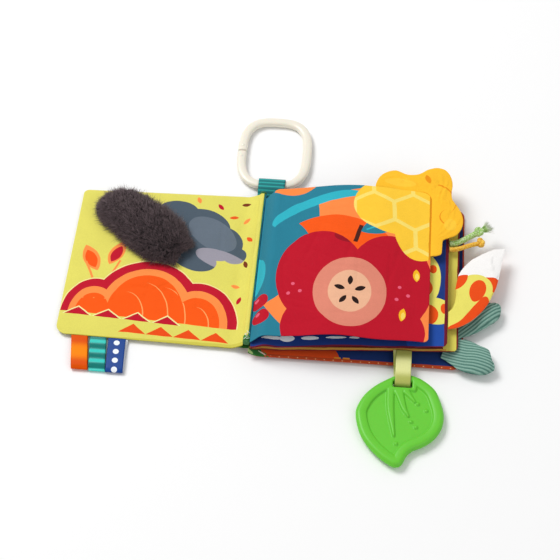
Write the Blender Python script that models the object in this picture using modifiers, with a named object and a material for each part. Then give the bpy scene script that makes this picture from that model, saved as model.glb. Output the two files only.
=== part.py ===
"""Crinkle cloth book lying open: padded leaves with crinkle film, flaps, tags, cords, a ring and a teether.

Metres, +Z up. X runs across the open book, Y from the teether towards the hanging ring. The origin lies on the
flat underside of the back cover. All leaves turn about the spine cord, and each moving piece hangs under an
empty on its own turning axis.
"""

import math
from dataclasses import dataclass

import bmesh
import bpy
import numpy as np
from mathutils import Vector

MM = 0.001

# Sheet materials, and the gaps between neighbouring pieces
CLOTH = 0.45 * MM
FILM = 0.3 * MM
RIBBON = 0.6 * MM
PIECE_GAP = 0.3 * MM
SEWN_GAP = 0.4 * MM
SEAM_HALF = PIECE_GAP / 2 + CLOTH

# Spine cord, the strip beneath it and the tack at each end
SPINE_X = -90.0 * MM
SPINE_Z = 10.5 * MM
SPINE_RADIUS = 3.0 * MM
SPINE_LENGTH = 148.0 * MM
SPINE_CLEARANCE = 0.35 * MM
STRIP_WIDTH = 13.4 * MM
STRIP_THICKNESS = 0.8 * MM
STRIP_CURL = 0.25 * MM
STRIP_GROUND_GAP = 0.1 * MM
TACK_LENGTH = 2.2 * MM
TACK_RADIUS = 3.0 * MM
TACK_EDGE = 0.5 * MM

# Padding of a leaf: half its thickness at the crown, and the runs over which it rises from a seam
CROWN_HALF = 3.1 * MM
LEAF_GAP = 0.45 * MM
EDGE_RAMP = 35.0 * MM
ROOT_RAMP = 22.0 * MM
THIN_ROOT = 3.0 * MM
CORNER_RADIUS = 9.0 * MM
FLAT_DEPTH = 0.5 * MM

# Leaves: neck and reach out from the spine axis, reach down and up along Y, and arch over the leaf beneath
BACK_NECK = 12.5 * MM
BACK_REACH = 169.0 * MM
BACK_LOW = 80.0 * MM
BACK_HIGH = 78.0 * MM
LEAF_C_NECK = 14.0 * MM
LEAF_C_REACH = 164.5 * MM
LEAF_C_HALF = 75.0 * MM
LEAF_C_ARCH = 0.5 * MM
LEAF_B_NECK = 16.0 * MM
LEAF_B_REACH = 155.5 * MM
LEAF_B_HALF = 75.5 * MM
LEAF_B_ARCH = 1.5 * MM
LEAF_A_NECK = 15.5 * MM
LEAF_A_REACH = 140.5 * MM
LEAF_A_LOW = 76.5 * MM
LEAF_A_HIGH = 77.5 * MM
LEAF_A_ARCH = 5.0 * MM
FRONT_NECK = 14.0 * MM
FRONT_REACH = 152.0 * MM
FRONT_HALF = 77.5 * MM
FRONT_TAPER_SHARE = 0.045

# Angles at which the leaves fan out of the spine, in degrees
FAN_FIRST_ANGLE = -58.0
FAN_STEP_ANGLE = 31.0
FRONT_ANGLE = 215.0

# Ribbons fold back on themselves and stay this far above the ground
RIBBON_GROUND_GAP = 0.4 * MM

# Hanging ring and its ribbon
RING_X = -85.0 * MM
RING_HALF_WIDTH = 28.0 * MM
RING_HALF_LENGTH = 36.8 * MM
RING_BAND_HALF = 4.0 * MM
RING_BAND_RISE = 3.0 * MM
RING_SLIT = 0.4 * MM
RING_GROUND_GAP = 0.04 * MM
RING_POWER = 3.0
RING_RIBBON_X = -84.25 * MM
RING_RIBBON_WIDTH = 22.5 * MM
RING_RIBBON_LENGTH = 18.1 * MM
RING_END_CLEARANCE = 2.2 * MM
RING_OVER_CLEARANCE = 0.8 * MM
RING_UNDER_CLEARANCE = 0.5 * MM
RING_Z = RIBBON_GROUND_GAP + RIBBON / 2 + RING_UNDER_CLEARANCE + RING_BAND_RISE
RING_RIBBON_RISE = 2 * RING_BAND_RISE + RIBBON + RING_OVER_CLEARANCE + RING_UNDER_CLEARANCE
RING_RIBBON_ROOT_GAP = 0.6 * MM
RING_RIBBON_HINGE_RISE = 0.8 * MM
RING_RIBBON_SHARES = (
    (0.0, 0.41), (0.13, 0.63), (0.31, 0.91), (0.49, 1.0), (0.77, 1.0), (0.93, 0.85), (1.0, 0.48),
    (0.93, 0.14), (0.77, 0.0), (0.49, 0.0), (0.31, 0.01), (0.13, 0.1), (0.0, 0.28),
)

# Ribbon tags on the front cover's bottom seam, set out from its outer corner
TAG_LENGTH = 30.6 * MM
TAG_RISE = 3.8 * MM
TAG_HINGE_RISE = 4.0 * MM
TAG_INSET = 13.4 * MM
TAG_SPACING = 2.0 * MM
ORANGE_TAG_WIDTH = 13.0 * MM
ORANGE_SLANT_SHARE = 0.15
TEAL_TAG_WIDTH = 12.8 * MM
TEAL_SLANT_SHARE = 0.11
BLUE_TAG_WIDTH = 13.6 * MM
BLUE_SLANT_SHARE = 0.06
TAG_SHARES = (
    (0.0, 0.86), (0.18, 0.97), (0.51, 1.0), (0.84, 0.97), (0.95, 0.79), (1.0, 0.47), (0.95, 0.14),
    (0.84, 0.01), (0.51, 0.0), (0.18, 0.16), (0.0, 0.57),
)

# Teether ribbon, sewn into the bottom seam of leaf C and looped through the teether's slot. Its rows hold a
# share of the length, a share of the seam's height and a share of the loop's height over the teether.
TEETHER_X = 32.8 * MM
TEETHER_RIBBON_WIDTH = 12.8 * MM
TEETHER_RIBBON_LENGTH = 27.1 * MM
TEETHER_RIBBON_HINGE_RISE = 0.75 * MM
TEETHER_LOOP_CLEARANCE = 0.66 * MM
TEETHER_RIBBON_SHARES = (
    (0.0, 1.05, 0.0), (0.17, 1.07, 0.0), (0.39, 0.6, 0.49), (0.63, 0.0, 1.075), (0.83, 0.0, 1.005),
    (0.96, 0.0, 0.84), (1.0, 0.0, 0.51), (0.98, 0.0, 0.2), (0.93, 0.0, 0.05), (0.83, 0.0, 0.0),
    (0.63, 0.0, 0.01), (0.46, 0.1, 0.15), (0.28, 0.45, 0.2), (0.13, 0.78, 0.08), (0.0, 0.94, 0.0),
)

# Teether: a leaf-shaped plate with a rounded rim, a sunk panel, a slot, raised veins and dots
TEETHER_WIDTH = 66.2 * MM
TEETHER_LENGTH = 80.9 * MM
TEETHER_SIDE_SHIFT = 1.1 * MM
TEETHER_HINGE_BACK = 3.0 * MM
TEETHER_BASE = 1.4 * MM
TEETHER_THICKNESS = 6.6 * MM
TEETHER_EDGE = 2.2 * MM
TEETHER_RECESS = 1.8 * MM
TEETHER_BAR = 6.0 * MM
SLOT_LENGTH = 6.2 * MM
SLOT_CLEARANCE = 1.1 * MM
SLOT_END_CLEARANCE = 2.3 * MM
VEIN_RISE = 1.1 * MM
DOT_RISE = 0.7 * MM
DOT_RADIUS = 1.5 * MM
TEETHER_SINK = 1.0 * MM
TEETHER_OUTLINE_SHARES = (
    (0.04, 0.0), (-0.21, 0.036), (-0.57, 0.137), (-0.83, 0.255), (-0.985, 0.394), (-1.0, 0.5), (-0.89, 0.67),
    (-0.69, 0.806), (-0.4, 0.925), (-0.15, 0.993), (-0.015, 1.0), (0.09, 0.97), (0.19, 0.88), (0.32, 0.82),
    (0.565, 0.764), (0.807, 0.677), (0.967, 0.554), (1.0, 0.42), (0.92, 0.277), (0.78, 0.146), (0.52, 0.052),
    (0.266, 0.006),
)
TEETHER_MIDDLE_SHARES = (0.01, 0.462)
TEETHER_PANEL_SHARE = 0.8
VEIN_SHARES = (
    (-0.31, 0.166), (-0.275, 0.41), (-0.17, 0.648), (-0.11, 0.687), (-0.063, 0.648), (-0.08, 0.538),
    (-0.11, 0.352), (-0.05, 0.276), (0.01, 0.308), (0.07, 0.413), (0.2, 0.475), (0.118, 0.331), (0.07, 0.223),
    (0.124, 0.219), (0.178, 0.247), (0.33, 0.289), (0.25, 0.21), (0.263, 0.166),
)
DOT_SHARES = ((0.4, 0.32), (0.6, 0.388), (0.26, 0.519), (0.375, 0.575), (-0.063, 0.764))

# Scalloped border sewn along both edges of leaf A's outer corner. A share below zero runs back along that edge,
# and one above zero stands out from the corner.
BORDER_TOP_RUN = 47.5 * MM
BORDER_SIDE_RUN = 69.0 * MM
BORDER_REACH = 25.0 * MM
BORDER_HALF = 2.2 * MM
BORDER_RAMP = 8.0 * MM
BORDER_END_RAMP = 10.0 * MM
BORDER_RISE = 0.55 * MM
BORDER_SEAM_GAP = 0.35 * MM
BORDER_OUTER_SHARES = (
    (-1.0, 0.05), (-0.966, 0.36), (-0.87, 0.62), (-0.69, 0.78), (-0.55, 0.72), (-0.43, 0.64), (-0.23, 0.7),
    (-0.11, 0.87), (0.1, 0.98), (0.4, 0.92), (0.6, 0.66), (0.66, 0.31), (0.63, -0.02), (0.73, -0.14),
    (0.92, -0.26), (1.02, -0.41), (0.96, -0.56), (0.75, -0.67), (0.42, -0.73), (0.36, -0.81), (0.34, -0.95),
    (0.17, -0.99), (0.05, -1.0),
)
BORDER_ACROSS_SHARES = (0.0, 0.06, 0.25, 0.5, 0.75, 0.94, 1.0)

# Plush flap on the front cover: its root on the hinge, straight middle line, half width and pile height
FUR_ROOT_REACH = 60.8 * MM
FUR_ROOT_Y = 11.2 * MM
FUR_LENGTH = 85.2 * MM
FUR_ANGLE = 145.5
FUR_HALF_WIDTH = 21.5 * MM
FUR_PILE = 12.2 * MM
FUR_BACKING = 0.55 * MM
FUR_BACKING_SHARE = 0.97
FUR_RIM_SHARE = 0.12
FUR_LINE_SHARES = (0.0, 0.2, 0.43, 0.66, 0.857, 1.0)
FUR_WIDTH_SHARES = (0.6, 0.88, 1.0, 0.91, 0.63, 0.23)
FUR_PILE_SHARES = (0.41, 0.82, 1.0, 0.95, 0.77, 0.45)

# Stuffed flap on leaf B's outer edge: how far its tip lies from its root, and its sag towards the tip
TAIL_ROOT_Y = -38.5 * MM
TAIL_DROP = 0.8 * MM
TAIL_HINGE_DROP = 0.1 * MM
TAIL_RUN = 38.6 * MM
TAIL_CLIMB = 61.5 * MM
TAIL_SAG = 1.6 * MM
TAIL_HALF_WIDTH = 17.0 * MM
TAIL_HALF = 2.9 * MM
TAIL_LINE_SHARES = ((0.0, 0.0, 0.0), (0.145, 0.065, 0.06), (0.34, 0.26, 0.25), (0.547, 0.528, 0.375),
                    (0.754, 0.772, 0.625), (1.0, 1.0, 1.0))
TAIL_WIDTH_SHARES = (0.62, 0.79, 0.97, 1.0, 0.82, 0.53)
TAIL_HALF_SHARES = (0.21, 0.55, 0.9, 1.0, 0.86, 0.24)

# Stuffed sprouts held between the back cover and leaf C, near the back cover's outer edge
SPROUT_RISE = 0.175 * MM
SPROUT_LIFT = 0.3 * MM
SPROUT_LINE_SHARES = (0.0, 0.17, 0.38, 0.62, 0.84, 1.0)
SPROUT_HALF_SHARES = (0.12, 0.12, 0.43, 1.0, 0.93, 0.43)
UPPER_SPROUT_TUCK = 15.5 * MM
UPPER_SPROUT_Y = -60.5 * MM
UPPER_SPROUT_LENGTH = 59.9 * MM
UPPER_SPROUT_ANGLE = 42.0
UPPER_SPROUT_HALF_WIDTH = 9.6 * MM
UPPER_SPROUT_HALF = 5.0 * MM
UPPER_WIDTH_SHARES = (0.33, 0.44, 0.81, 1.0, 0.96, 0.58)
LOWER_SPROUT_TUCK = 16.0 * MM
LOWER_SPROUT_Y = -68.4 * MM
LOWER_SPROUT_LENGTH = 42.7 * MM
LOWER_SPROUT_ANGLE = -13.5
LOWER_SPROUT_HALF_WIDTH = 13.2 * MM
LOWER_SPROUT_HALF = 5.2 * MM
LOWER_WIDTH_SHARES = (0.26, 0.32, 0.76, 1.0, 0.88, 0.45)

# How a stuffed form rounds over from its flat seam, and how far its stuffing stays inside
FORM_ACROSS_SHARES = (-1.0, -0.92, -0.8, -0.45, 0.0, 0.45, 0.8, 0.92, 1.0)
FORM_ROUND_SHARE = 0.92
STUFFING_INSET = 1.2 * MM
STUFFING_WIDTH_SHARE = 0.72

# Free cords: places along each, chosen by hand in millimetres out from leaf B's edge, along Y and over its
# middle surface, and the pieces on their ends
GREEN_ROUTE = ((0.45, 30.9, 0.0), (5.1, 31.4, 0.1), (10.5, 34.2, 0.5), (16.0, 38.0, 0.8), (20.9, 41.6, 0.9))
YELLOW_ROUTE = (
    (0.45, 24.6, 0.0), (5.3, 25.1, -0.1), (11.5, 27.8, -0.3), (17.5, 30.8, -0.5), (22.7, 32.8, -0.6),
)
GREEN_CORD_RADIUS = 2.4 * MM
YELLOW_CORD_RADIUS = 1.9 * MM
KNOT_NECK_SHARE = 0.75
KNOT_BULGE_SHARE = 1.55
KNOT_LENGTH_SHARE = 3.1
KNOT_RIDGE_SHARE = 0.12
TUFT_LENGTH = 9.0 * MM
TUFT_ROOT_SHARE = 0.85
TUFT_FLARE_SHARE = 1.15
TUFT_FLAT_SHARE = 0.7
SWELL_POWER = 0.8

# Where a leaf is drawn, as shares of the run over which its padding rises from that edge
ROOT_STATION_SHARES = (0.0, 0.16, 0.32, 0.55, 0.86)
EDGE_STATION_SHARES = (0.0, 0.035, 0.14, 0.37, 0.8)
SIDE_STATION_SHARES = (0.0, 0.035, 0.14, 0.4, 0.91)

# Counts of points, steps and rows
MIDDLE_STATION_COUNT = 4
NECK_STEP_COUNT = 24
PANEL_STEP_COUNT = 60
INNER_SKIP_COUNT = 3
SEAM_BLEND_COUNT = 4
SEAM_BLEND_POWER = 0.7
CORD_POINT_COUNT = 17
FORM_ROW_COUNT = 10
FUR_ROW_COUNT = 12
FUR_ACROSS_COUNT = 11
KNOT_ROW_COUNT = 9
KNOT_RIDGE_COUNT = 3
TUFT_ROW_COUNT = 6
BORDER_FILM_SKIP_COUNT = 5
BORDER_ROW_COUNT = 35
RING_POINT_COUNT = 49
OUTLINE_POINT_COUNT = 66
ROUND_SIDE_COUNT = 12
CAP_RESOLUTION = 2

SHARP_ANGLE = 40.0
MERGE_DISTANCE = 0.01 * MM


@dataclass(frozen=True)
class Look:
    """What one material looks like."""

    colour: tuple
    roughness: float = 0.85
    metallic: float = 0.0
    sheen: float = 0.3


LOOKS = {
    "yellow": Look((0.82, 0.74, 0.14)),
    "navy": Look((0.02, 0.06, 0.28)),
    "red": Look((0.60, 0.01, 0.03)),
    "orange": Look((0.86, 0.18, 0.03)),
    "green": Look((0.13, 0.36, 0.12)),
    "gold": Look((0.92, 0.52, 0.03)),
    "white": Look((0.85, 0.85, 0.83)),
    "sage": Look((0.22, 0.40, 0.30)),
    "fur": Look((0.07, 0.06, 0.055), roughness=1.0, sheen=0.8),
    "wadding": Look((0.8, 0.8, 0.78), roughness=1.0),
    "film": Look((0.75, 0.78, 0.8), roughness=0.3, sheen=0.0),
    "orange_ribbon": Look((0.86, 0.18, 0.03), roughness=0.45, sheen=0.1),
    "teal_ribbon": Look((0.05, 0.30, 0.42), roughness=0.6, sheen=0.1),
    "blue_ribbon": Look((0.03, 0.16, 0.62), roughness=0.5, sheen=0.1),
    "pale_ribbon": Look((0.66, 0.68, 0.25), roughness=0.45, sheen=0.1),
    "green_yarn": Look((0.36, 0.58, 0.22), roughness=0.8),
    "yellow_yarn": Look((0.92, 0.52, 0.03), roughness=0.8),
    "ring": Look((0.85, 0.85, 0.83), roughness=0.35, sheen=0.0),
    "teether": Look((0.16, 0.60, 0.06), roughness=0.4, sheen=0.0),
}


@dataclass(frozen=True)
class LeafSize:
    """Sizes of one leaf, out from the spine axis, with its level in the stack and its root's angle."""

    level: int
    angle: float
    neck: float
    reach: float
    low: float
    high: float
    arch: float = 0.0
    side: float = 1.0
    taper: float = 0.0

    @property
    def middle(self):
        """Height of the leaf's middle surface over the ground."""
        return CROWN_HALF + self.level * (2 * CROWN_HALF + LEAF_GAP)

    @property
    def flat(self):
        """Whether the leaf lies on the ground and is pressed flat there."""
        return self.level == 0


LEAVES = {
    "back_cover": LeafSize(0, FAN_FIRST_ANGLE, BACK_NECK, BACK_REACH, BACK_LOW, BACK_HIGH),
    "leaf_c": LeafSize(
        1, FAN_FIRST_ANGLE + FAN_STEP_ANGLE, LEAF_C_NECK, LEAF_C_REACH, LEAF_C_HALF, LEAF_C_HALF, LEAF_C_ARCH,
    ),
    "leaf_b": LeafSize(
        2, FAN_FIRST_ANGLE + 2 * FAN_STEP_ANGLE, LEAF_B_NECK, LEAF_B_REACH, LEAF_B_HALF, LEAF_B_HALF,
        LEAF_B_ARCH,
    ),
    "leaf_a": LeafSize(
        3, FAN_FIRST_ANGLE + 3 * FAN_STEP_ANGLE, LEAF_A_NECK, LEAF_A_REACH, LEAF_A_LOW, LEAF_A_HIGH,
        LEAF_A_ARCH,
    ),
    "front_cover": LeafSize(
        0, FRONT_ANGLE, FRONT_NECK, FRONT_REACH, FRONT_HALF, FRONT_HALF, side=-1.0, taper=FRONT_TAPER_SHARE,
    ),
}
LEAF_COLOURS = {
    "back_cover": ("navy", "orange"),
    "leaf_c": ("yellow", "red"),
    "leaf_b": ("navy", "red"),
    "leaf_a": ("red", "navy"),
    "front_cover": ("yellow", "green"),
}


def clear_scene():
    """Removes every object and collection of the open scene."""
    for obj in list(bpy.data.objects):
        bpy.data.objects.remove(obj, do_unlink=True)
    for collection in list(bpy.data.collections):
        bpy.data.collections.remove(collection)


def add_collection(name):
    """Adds a collection to the scene."""
    collection = bpy.data.collections.new(name)
    bpy.context.scene.collection.children.link(collection)
    return collection


clear_scene()
BOOK = add_collection("crinkle_cloth_book")
CUTTERS = add_collection("cutters")


class Body:
    """An empty on a turning axis, which carries the pieces that turn together about it."""

    def __init__(self, name, place, parent=None):
        self.place = np.array(place, float)
        self.empty = bpy.data.objects.new(f"{name}_axis", None)
        self.empty.empty_display_size = SPINE_RADIUS
        self.empty.parent = parent.empty if parent else None
        self.empty.location = self.place - (parent.place if parent else 0.0)
        BOOK.objects.link(self.empty)

    def carry(self, name, data, look):
        """Adds a piece in the frame of the axis, with a material of its own."""
        piece = bpy.data.objects.new(name, data)
        piece.data.materials.append(material(name, LOOKS[look]))
        piece.parent = self.empty
        BOOK.objects.link(piece)
        return piece


def material(name, look):
    """The Principled material of one piece."""
    made = bpy.data.materials.new(name)
    made.use_nodes = True
    surface = made.node_tree.nodes["Principled BSDF"]
    surface.inputs["Base Color"].default_value = (*look.colour, 1.0)
    surface.inputs["Roughness"].default_value = look.roughness
    surface.inputs["Metallic"].default_value = look.metallic
    surface.inputs["Sheen Weight"].default_value = look.sheen
    made.diffuse_color = (*look.colour, 1.0)
    return made


def mesh_from(bm, name, smooth=True):
    """Turns a bmesh into a mesh and frees it."""
    mesh = bpy.data.meshes.new(name)
    bm.to_mesh(mesh)
    bm.free()
    if smooth:
        mesh.shade_smooth()
    return mesh


def unit_grid(rows, columns):
    """A level grid with this many points each way, and the row and column of each of its points."""
    grid = bmesh.new()
    bmesh.ops.create_grid(grid, x_segments=rows - 1, y_segments=columns - 1, size=1.0)

    def index(point):
        return round((point.x + 1.0) / 2.0 * (rows - 1)), round((point.y + 1.0) / 2.0 * (columns - 1))

    return grid, index


def sheet(name, body, points, thickness, side, look):
    """A sheet laid through rows and columns of points, thickened above (1), below (-1) or both ways (0)."""
    grid, index = unit_grid(*points.shape[:2])
    for vert in grid.verts:
        vert.co = points[index(vert.co)]
    grid.normal_update()
    if sum(face.normal.z * face.calc_area() for face in grid.faces) < 0.0:
        bmesh.ops.reverse_faces(grid, faces=grid.faces[:])
    piece = body.carry(name, mesh_from(grid, name), look)
    solidify = piece.modifiers.new("thickness", "SOLIDIFY")
    solidify.thickness = thickness
    solidify.offset = side
    return piece


def filling(name, body, top, bottom, look):
    """A soft body between an upper and a lower surface, each given by rows and columns of points."""
    grid, index = unit_grid(*top.shape[:2])
    below = bmesh.ops.extrude_face_region(grid, geom=grid.faces[:], use_keep_orig=True)
    lower = {part for part in below["geom"] if isinstance(part, bmesh.types.BMVert)}
    for vert in grid.verts:
        vert.co = (bottom if vert in lower else top)[index(vert.co)]
    bmesh.ops.recalc_face_normals(grid, faces=grid.faces[:])
    return body.carry(name, mesh_from(grid, name), look)


def drum(name, radius, length):
    """A capped cylinder about Z."""
    solid = bmesh.new()
    bmesh.ops.create_cone(
        solid, cap_ends=True, segments=ROUND_SIDE_COUNT, radius1=radius, radius2=radius, depth=length
    )
    mesh = mesh_from(solid, name)
    mesh.set_sharp_from_angle(angle=math.radians(SHARP_ANGLE))
    return mesh


def turned(name, body, profile, look):
    """A turned piece about Z from the radius and height of its profile, top to bottom."""
    mesh = bpy.data.meshes.new(name)
    mesh.from_pydata([(radius, 0.0, height) for radius, height in profile],
                     [(i, i + 1) for i in range(len(profile) - 1)], [])
    piece = body.carry(name, mesh, look)
    screw = piece.modifiers.new("turning", "SCREW")
    screw.steps = screw.render_steps = ROUND_SIDE_COUNT
    screw.use_merge_vertices = True
    screw.merge_threshold = MERGE_DISTANCE
    screw.use_smooth_shade = True
    return piece


def polyline(curve, points, closed=False):
    """Adds a spline of straight runs through points to a curve."""
    spline = curve.splines.new("POLY")
    spline.points.add(len(points) - 1)
    for point, place in zip(spline.points, points):
        point.co = (*place, 1.0)
    spline.use_cyclic_u = closed


def outline_solid(name, outline, low, high, edge=0.0):
    """The welded mesh of a flat outline given its height, with rounded edges."""
    curve = bpy.data.curves.new(name, "CURVE")
    curve.dimensions = "2D"
    curve.fill_mode = "BOTH"
    curve.extrude = (high - low) / 2.0 - edge
    curve.bevel_depth = edge
    curve.bevel_resolution = CAP_RESOLUTION
    curve.offset = -edge
    polyline(curve, [(x, y, 0.0) for x, y in outline], closed=True)
    guide = bpy.data.objects.new(name, curve)
    guide.location.z = (low + high) / 2.0
    CUTTERS.objects.link(guide)
    graph = bpy.context.evaluated_depsgraph_get()
    solid = bmesh.new()
    solid.from_mesh(bpy.data.meshes.new_from_object(guide.evaluated_get(graph)))
    solid.transform(guide.matrix_world)
    bpy.data.objects.remove(guide)
    bmesh.ops.remove_doubles(solid, verts=solid.verts[:], dist=MERGE_DISTANCE)
    bmesh.ops.recalc_face_normals(solid, faces=solid.faces[:])
    return mesh_from(solid, name, smooth=False)


def cut_or_join(piece, name, mesh, operation, location=(0.0, 0.0, 0.0)):
    """Cuts a mesh from a piece, or joins it on, with an exact Boolean."""
    tool = bpy.data.objects.new(name, mesh)
    tool.parent = piece.parent
    tool.location = location
    tool.hide_render = True
    tool.display_type = "WIRE"
    CUTTERS.objects.link(tool)
    boolean = piece.modifiers.new(name, "BOOLEAN")
    boolean.operation = operation
    boolean.solver = "EXACT"
    boolean.object = tool


def pillow(distance, ramp):
    """Share of the full crown at a distance in from a sewn edge: a quarter of an ellipse over the ramp."""
    inside = np.clip(np.asarray(distance, float) / ramp, 0.0, 1.0)
    return np.sqrt(1.0 - (1.0 - inside) ** 2)


def cubic(start, end, start_way, end_way, t):
    """The cubic from start to end that leaves and arrives with the given tangents."""
    return (
        (2 * t**3 - 3 * t**2 + 1) * start + (t**3 - 2 * t**2 + t) * start_way
        + (-2 * t**3 + 3 * t**2) * end + (t**3 - t**2) * end_way
    )


def smooth(values, count):
    """Values read at an even count from a smooth curve through them, with both ends kept."""
    values = np.asarray(values, float)
    place = np.linspace(0.0, len(values) - 1.0, count)
    slopes = np.gradient(values, axis=0)
    i = np.clip(place.astype(int), 0, len(values) - 2)
    t = place - i
    if values.ndim == 2:
        t = t[:, None]
    return cubic(values[i], values[i + 1], slopes[i], slopes[i + 1], t)


class Leaf:
    """One padded leaf in the frame of the spine axis: its middle surface, and its half thickness over it."""

    def __init__(self, size):
        self.size = size
        angle = math.radians(size.angle)
        way = np.array([math.cos(angle), math.sin(angle)])
        root = way * (SPINE_RADIUS + SPINE_CLEARANCE)
        level = size.middle - SPINE_Z
        start = np.array([size.side * size.neck, level])
        span = np.linalg.norm(start - root)
        t = np.linspace(0.0, 1.0, NECK_STEP_COUNT)[:, None]
        neck = cubic(root, start, way * span, np.array([size.side, 0.0]) * span, t)
        share = np.linspace(0.0, 1.0, PANEL_STEP_COUNT)[1:]
        panel_x = size.side * (size.neck + share * (size.reach - size.neck))
        panel_z = level + size.arch * np.sin(math.pi * share) ** 2
        self.line = np.concatenate([neck, np.stack([panel_x, panel_z], axis=1)])
        steps = np.linalg.norm(np.diff(self.line, axis=0), axis=1)
        self.along = np.concatenate([[0.0], np.cumsum(steps)])
        self.length = self.along[-1]
        ways = np.gradient(self.line, self.along, axis=0)
        ways /= np.linalg.norm(ways, axis=1, keepdims=True)
        self.normals = np.stack([-ways[:, 1], ways[:, 0]], axis=1) * size.side

    def sides(self, s):
        """Lowest and highest Y of the leaf at arc lengths s, with round outer corners."""
        into = np.clip(s - (self.length - CORNER_RADIUS), 0.0, CORNER_RADIUS)
        cut = CORNER_RADIUS - np.sqrt(CORNER_RADIUS**2 - into**2)
        narrow = 1.0 - self.size.taper * s / self.length
        return cut - self.size.low * narrow, self.size.high * narrow - cut

    def thickness(self, s, v):
        """Half thickness under and over the middle surface: thin at the root, drawn in to the seams."""
        low, high = self.sides(s)
        across = ((high - low) / 2.0)[:, None] * (1.0 - np.abs(v))[None, :]
        along = pillow(self.length - s, EDGE_RAMP) * pillow(s - THIN_ROOT, ROOT_RAMP)
        share = along[:, None] * pillow(across, EDGE_RAMP)
        full = CROWN_HALF + (FLAT_DEPTH if self.size.flat else 0.0)
        return SEAM_HALF + (full - SEAM_HALF) * share, SEAM_HALF + (CROWN_HALF - SEAM_HALF) * share

    def surface(self, s, v, front, depth):
        """Points a depth inside the front or the back face, at arc lengths s and shares v across."""
        under, over = self.thickness(s, v)
        offset = over - depth if front else depth - under
        x, z, nx, nz = (
            np.interp(s, self.along, values)[:, None] for values in (*self.line.T, *self.normals.T)
        )
        low, high = self.sides(s)
        y = low[:, None] + (high - low)[:, None] * (v[None, :] + 1.0) / 2.0
        points = np.stack([x + nx * offset, y, z + nz * offset], axis=2)
        if self.size.flat:
            points[:, :, 2] = np.maximum(points[:, :, 2], depth - SPINE_Z)
        return points

    def stations(self):
        """Arc lengths and shares across at which the leaf is drawn, close together near its edges."""
        root = np.array(ROOT_STATION_SHARES) * ROOT_RAMP
        edge = self.length - np.array(EDGE_STATION_SHARES[::-1]) * EDGE_RAMP
        middle = np.linspace(root[-1], edge[0], MIDDLE_STATION_COUNT + 2)[1:-1]
        side = 2.0 * np.array(SIDE_STATION_SHARES) * EDGE_RAMP / (self.size.low + self.size.high) - 1.0
        return np.concatenate([root, middle, edge]), np.concatenate([side, [0.0], -side[::-1]])


def build_leaf(name, body):
    """The two cloths, the wadding and the crinkle film of one leaf."""
    leaf = Leaf(LEAVES[name])
    front_colour, back_colour = LEAF_COLOURS[name]
    s, v = leaf.stations()
    sheet(f"{name}_front_cloth", body, leaf.surface(s, v, True, 0.0), CLOTH, -1.0, front_colour)
    sheet(f"{name}_back_cloth", body, leaf.surface(s, v, False, 0.0), CLOTH, 1.0, back_colour)
    s = s[len(ROOT_STATION_SHARES) - 1 : -INNER_SKIP_COUNT]
    v = v[INNER_SKIP_COUNT:-INNER_SKIP_COUNT]
    deep = CLOTH + PIECE_GAP
    film = leaf.surface(s, v, True, deep)
    sheet(f"{name}_crinkle_film", body, film, FILM, -1.0, "film")
    top = leaf.surface(s, v, True, deep + FILM + PIECE_GAP)
    filling(f"{name}_wadding", body, top, leaf.surface(s, v, False, deep), "wadding")


def build_spine(body):
    """The sewn spine cord, the strip beneath it and the tack at each end."""
    along = (math.pi / 2.0, 0.0, 0.0)
    place = Vector((SPINE_X, 0.0, SPINE_Z))
    cord = body.carry("spine_cord", drum("spine_cord", SPINE_RADIUS, SPINE_LENGTH), "green")
    cord.rotation_euler = along
    cord.location = place
    for name, side in (("spine_head_bartack", 1.0), ("spine_tail_bartack", -1.0)):
        tack = body.carry(name, drum(name, TACK_RADIUS, TACK_LENGTH), "white")
        tack.rotation_euler = along
        tack.location = place + Vector((0.0, side * (SPINE_LENGTH + TACK_LENGTH + 2 * PIECE_GAP) / 2.0, 0.0))
        bevel = tack.modifiers.new("edge", "BEVEL")
        bevel.width = TACK_EDGE
        bevel.segments = CAP_RESOLUTION
        bevel.limit_method = "ANGLE"
    share = np.linspace(-1.0, 1.0, ROUND_SIDE_COUNT)[:, None]
    x = SPINE_X + share * STRIP_WIDTH / 2.0
    z = STRIP_GROUND_GAP + STRIP_CURL * share**2
    y = np.array([-SPINE_LENGTH, SPINE_LENGTH])[None, :] / 2.0
    sheet("spine_strip", body, np.stack(np.broadcast_arrays(x, y, z), axis=2), STRIP_THICKNESS, 1.0, "green")


def build_ribbon(name, body, path, width, look, way=1.0, slant=0.0):
    """A ribbon folded back on itself: a path out along Y and up from the ground gap, carried across X."""
    x = np.array([-width, width])[None, :] / 2.0 + slant * path[:, :1]
    y = np.broadcast_to(way * path[:, :1], x.shape)
    z = np.broadcast_to(path[:, 1:] + RIBBON_GROUND_GAP - body.place[2], x.shape)
    sheet(name, body, np.stack([x, y, z], axis=2), RIBBON, 0.0, look)


def build_ring(body):
    """The split ring: a flattened band round a rounded square, open at one narrow slit."""
    slit = RING_SLIT / (2.0 * RING_HALF_WIDTH)
    turn = np.linspace(math.pi - slit, slit - math.pi, RING_POINT_COUNT)
    across, along = (
        half * np.sign(value) * np.abs(value) ** (2.0 / RING_POWER)
        for half, value in ((RING_HALF_WIDTH, np.cos(turn)), (RING_HALF_LENGTH, np.sin(turn)))
    )
    curve = bpy.data.curves.new("ring", "CURVE")
    curve.dimensions = "3D"
    curve.bevel_depth = RING_BAND_HALF
    curve.bevel_resolution = CAP_RESOLUTION
    curve.use_fill_caps = True
    polyline(curve, np.stack([across, along + RING_HALF_LENGTH, np.zeros(RING_POINT_COUNT)], axis=1))
    ring = body.carry("ring", curve, "ring")
    ring.scale.z = RING_BAND_RISE / RING_BAND_HALF
    drop = RING_Z - RING_BAND_RISE - RING_GROUND_GAP
    ring.rotation_euler.x = -math.atan(drop / (2.0 * RING_HALF_LENGTH))


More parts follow.
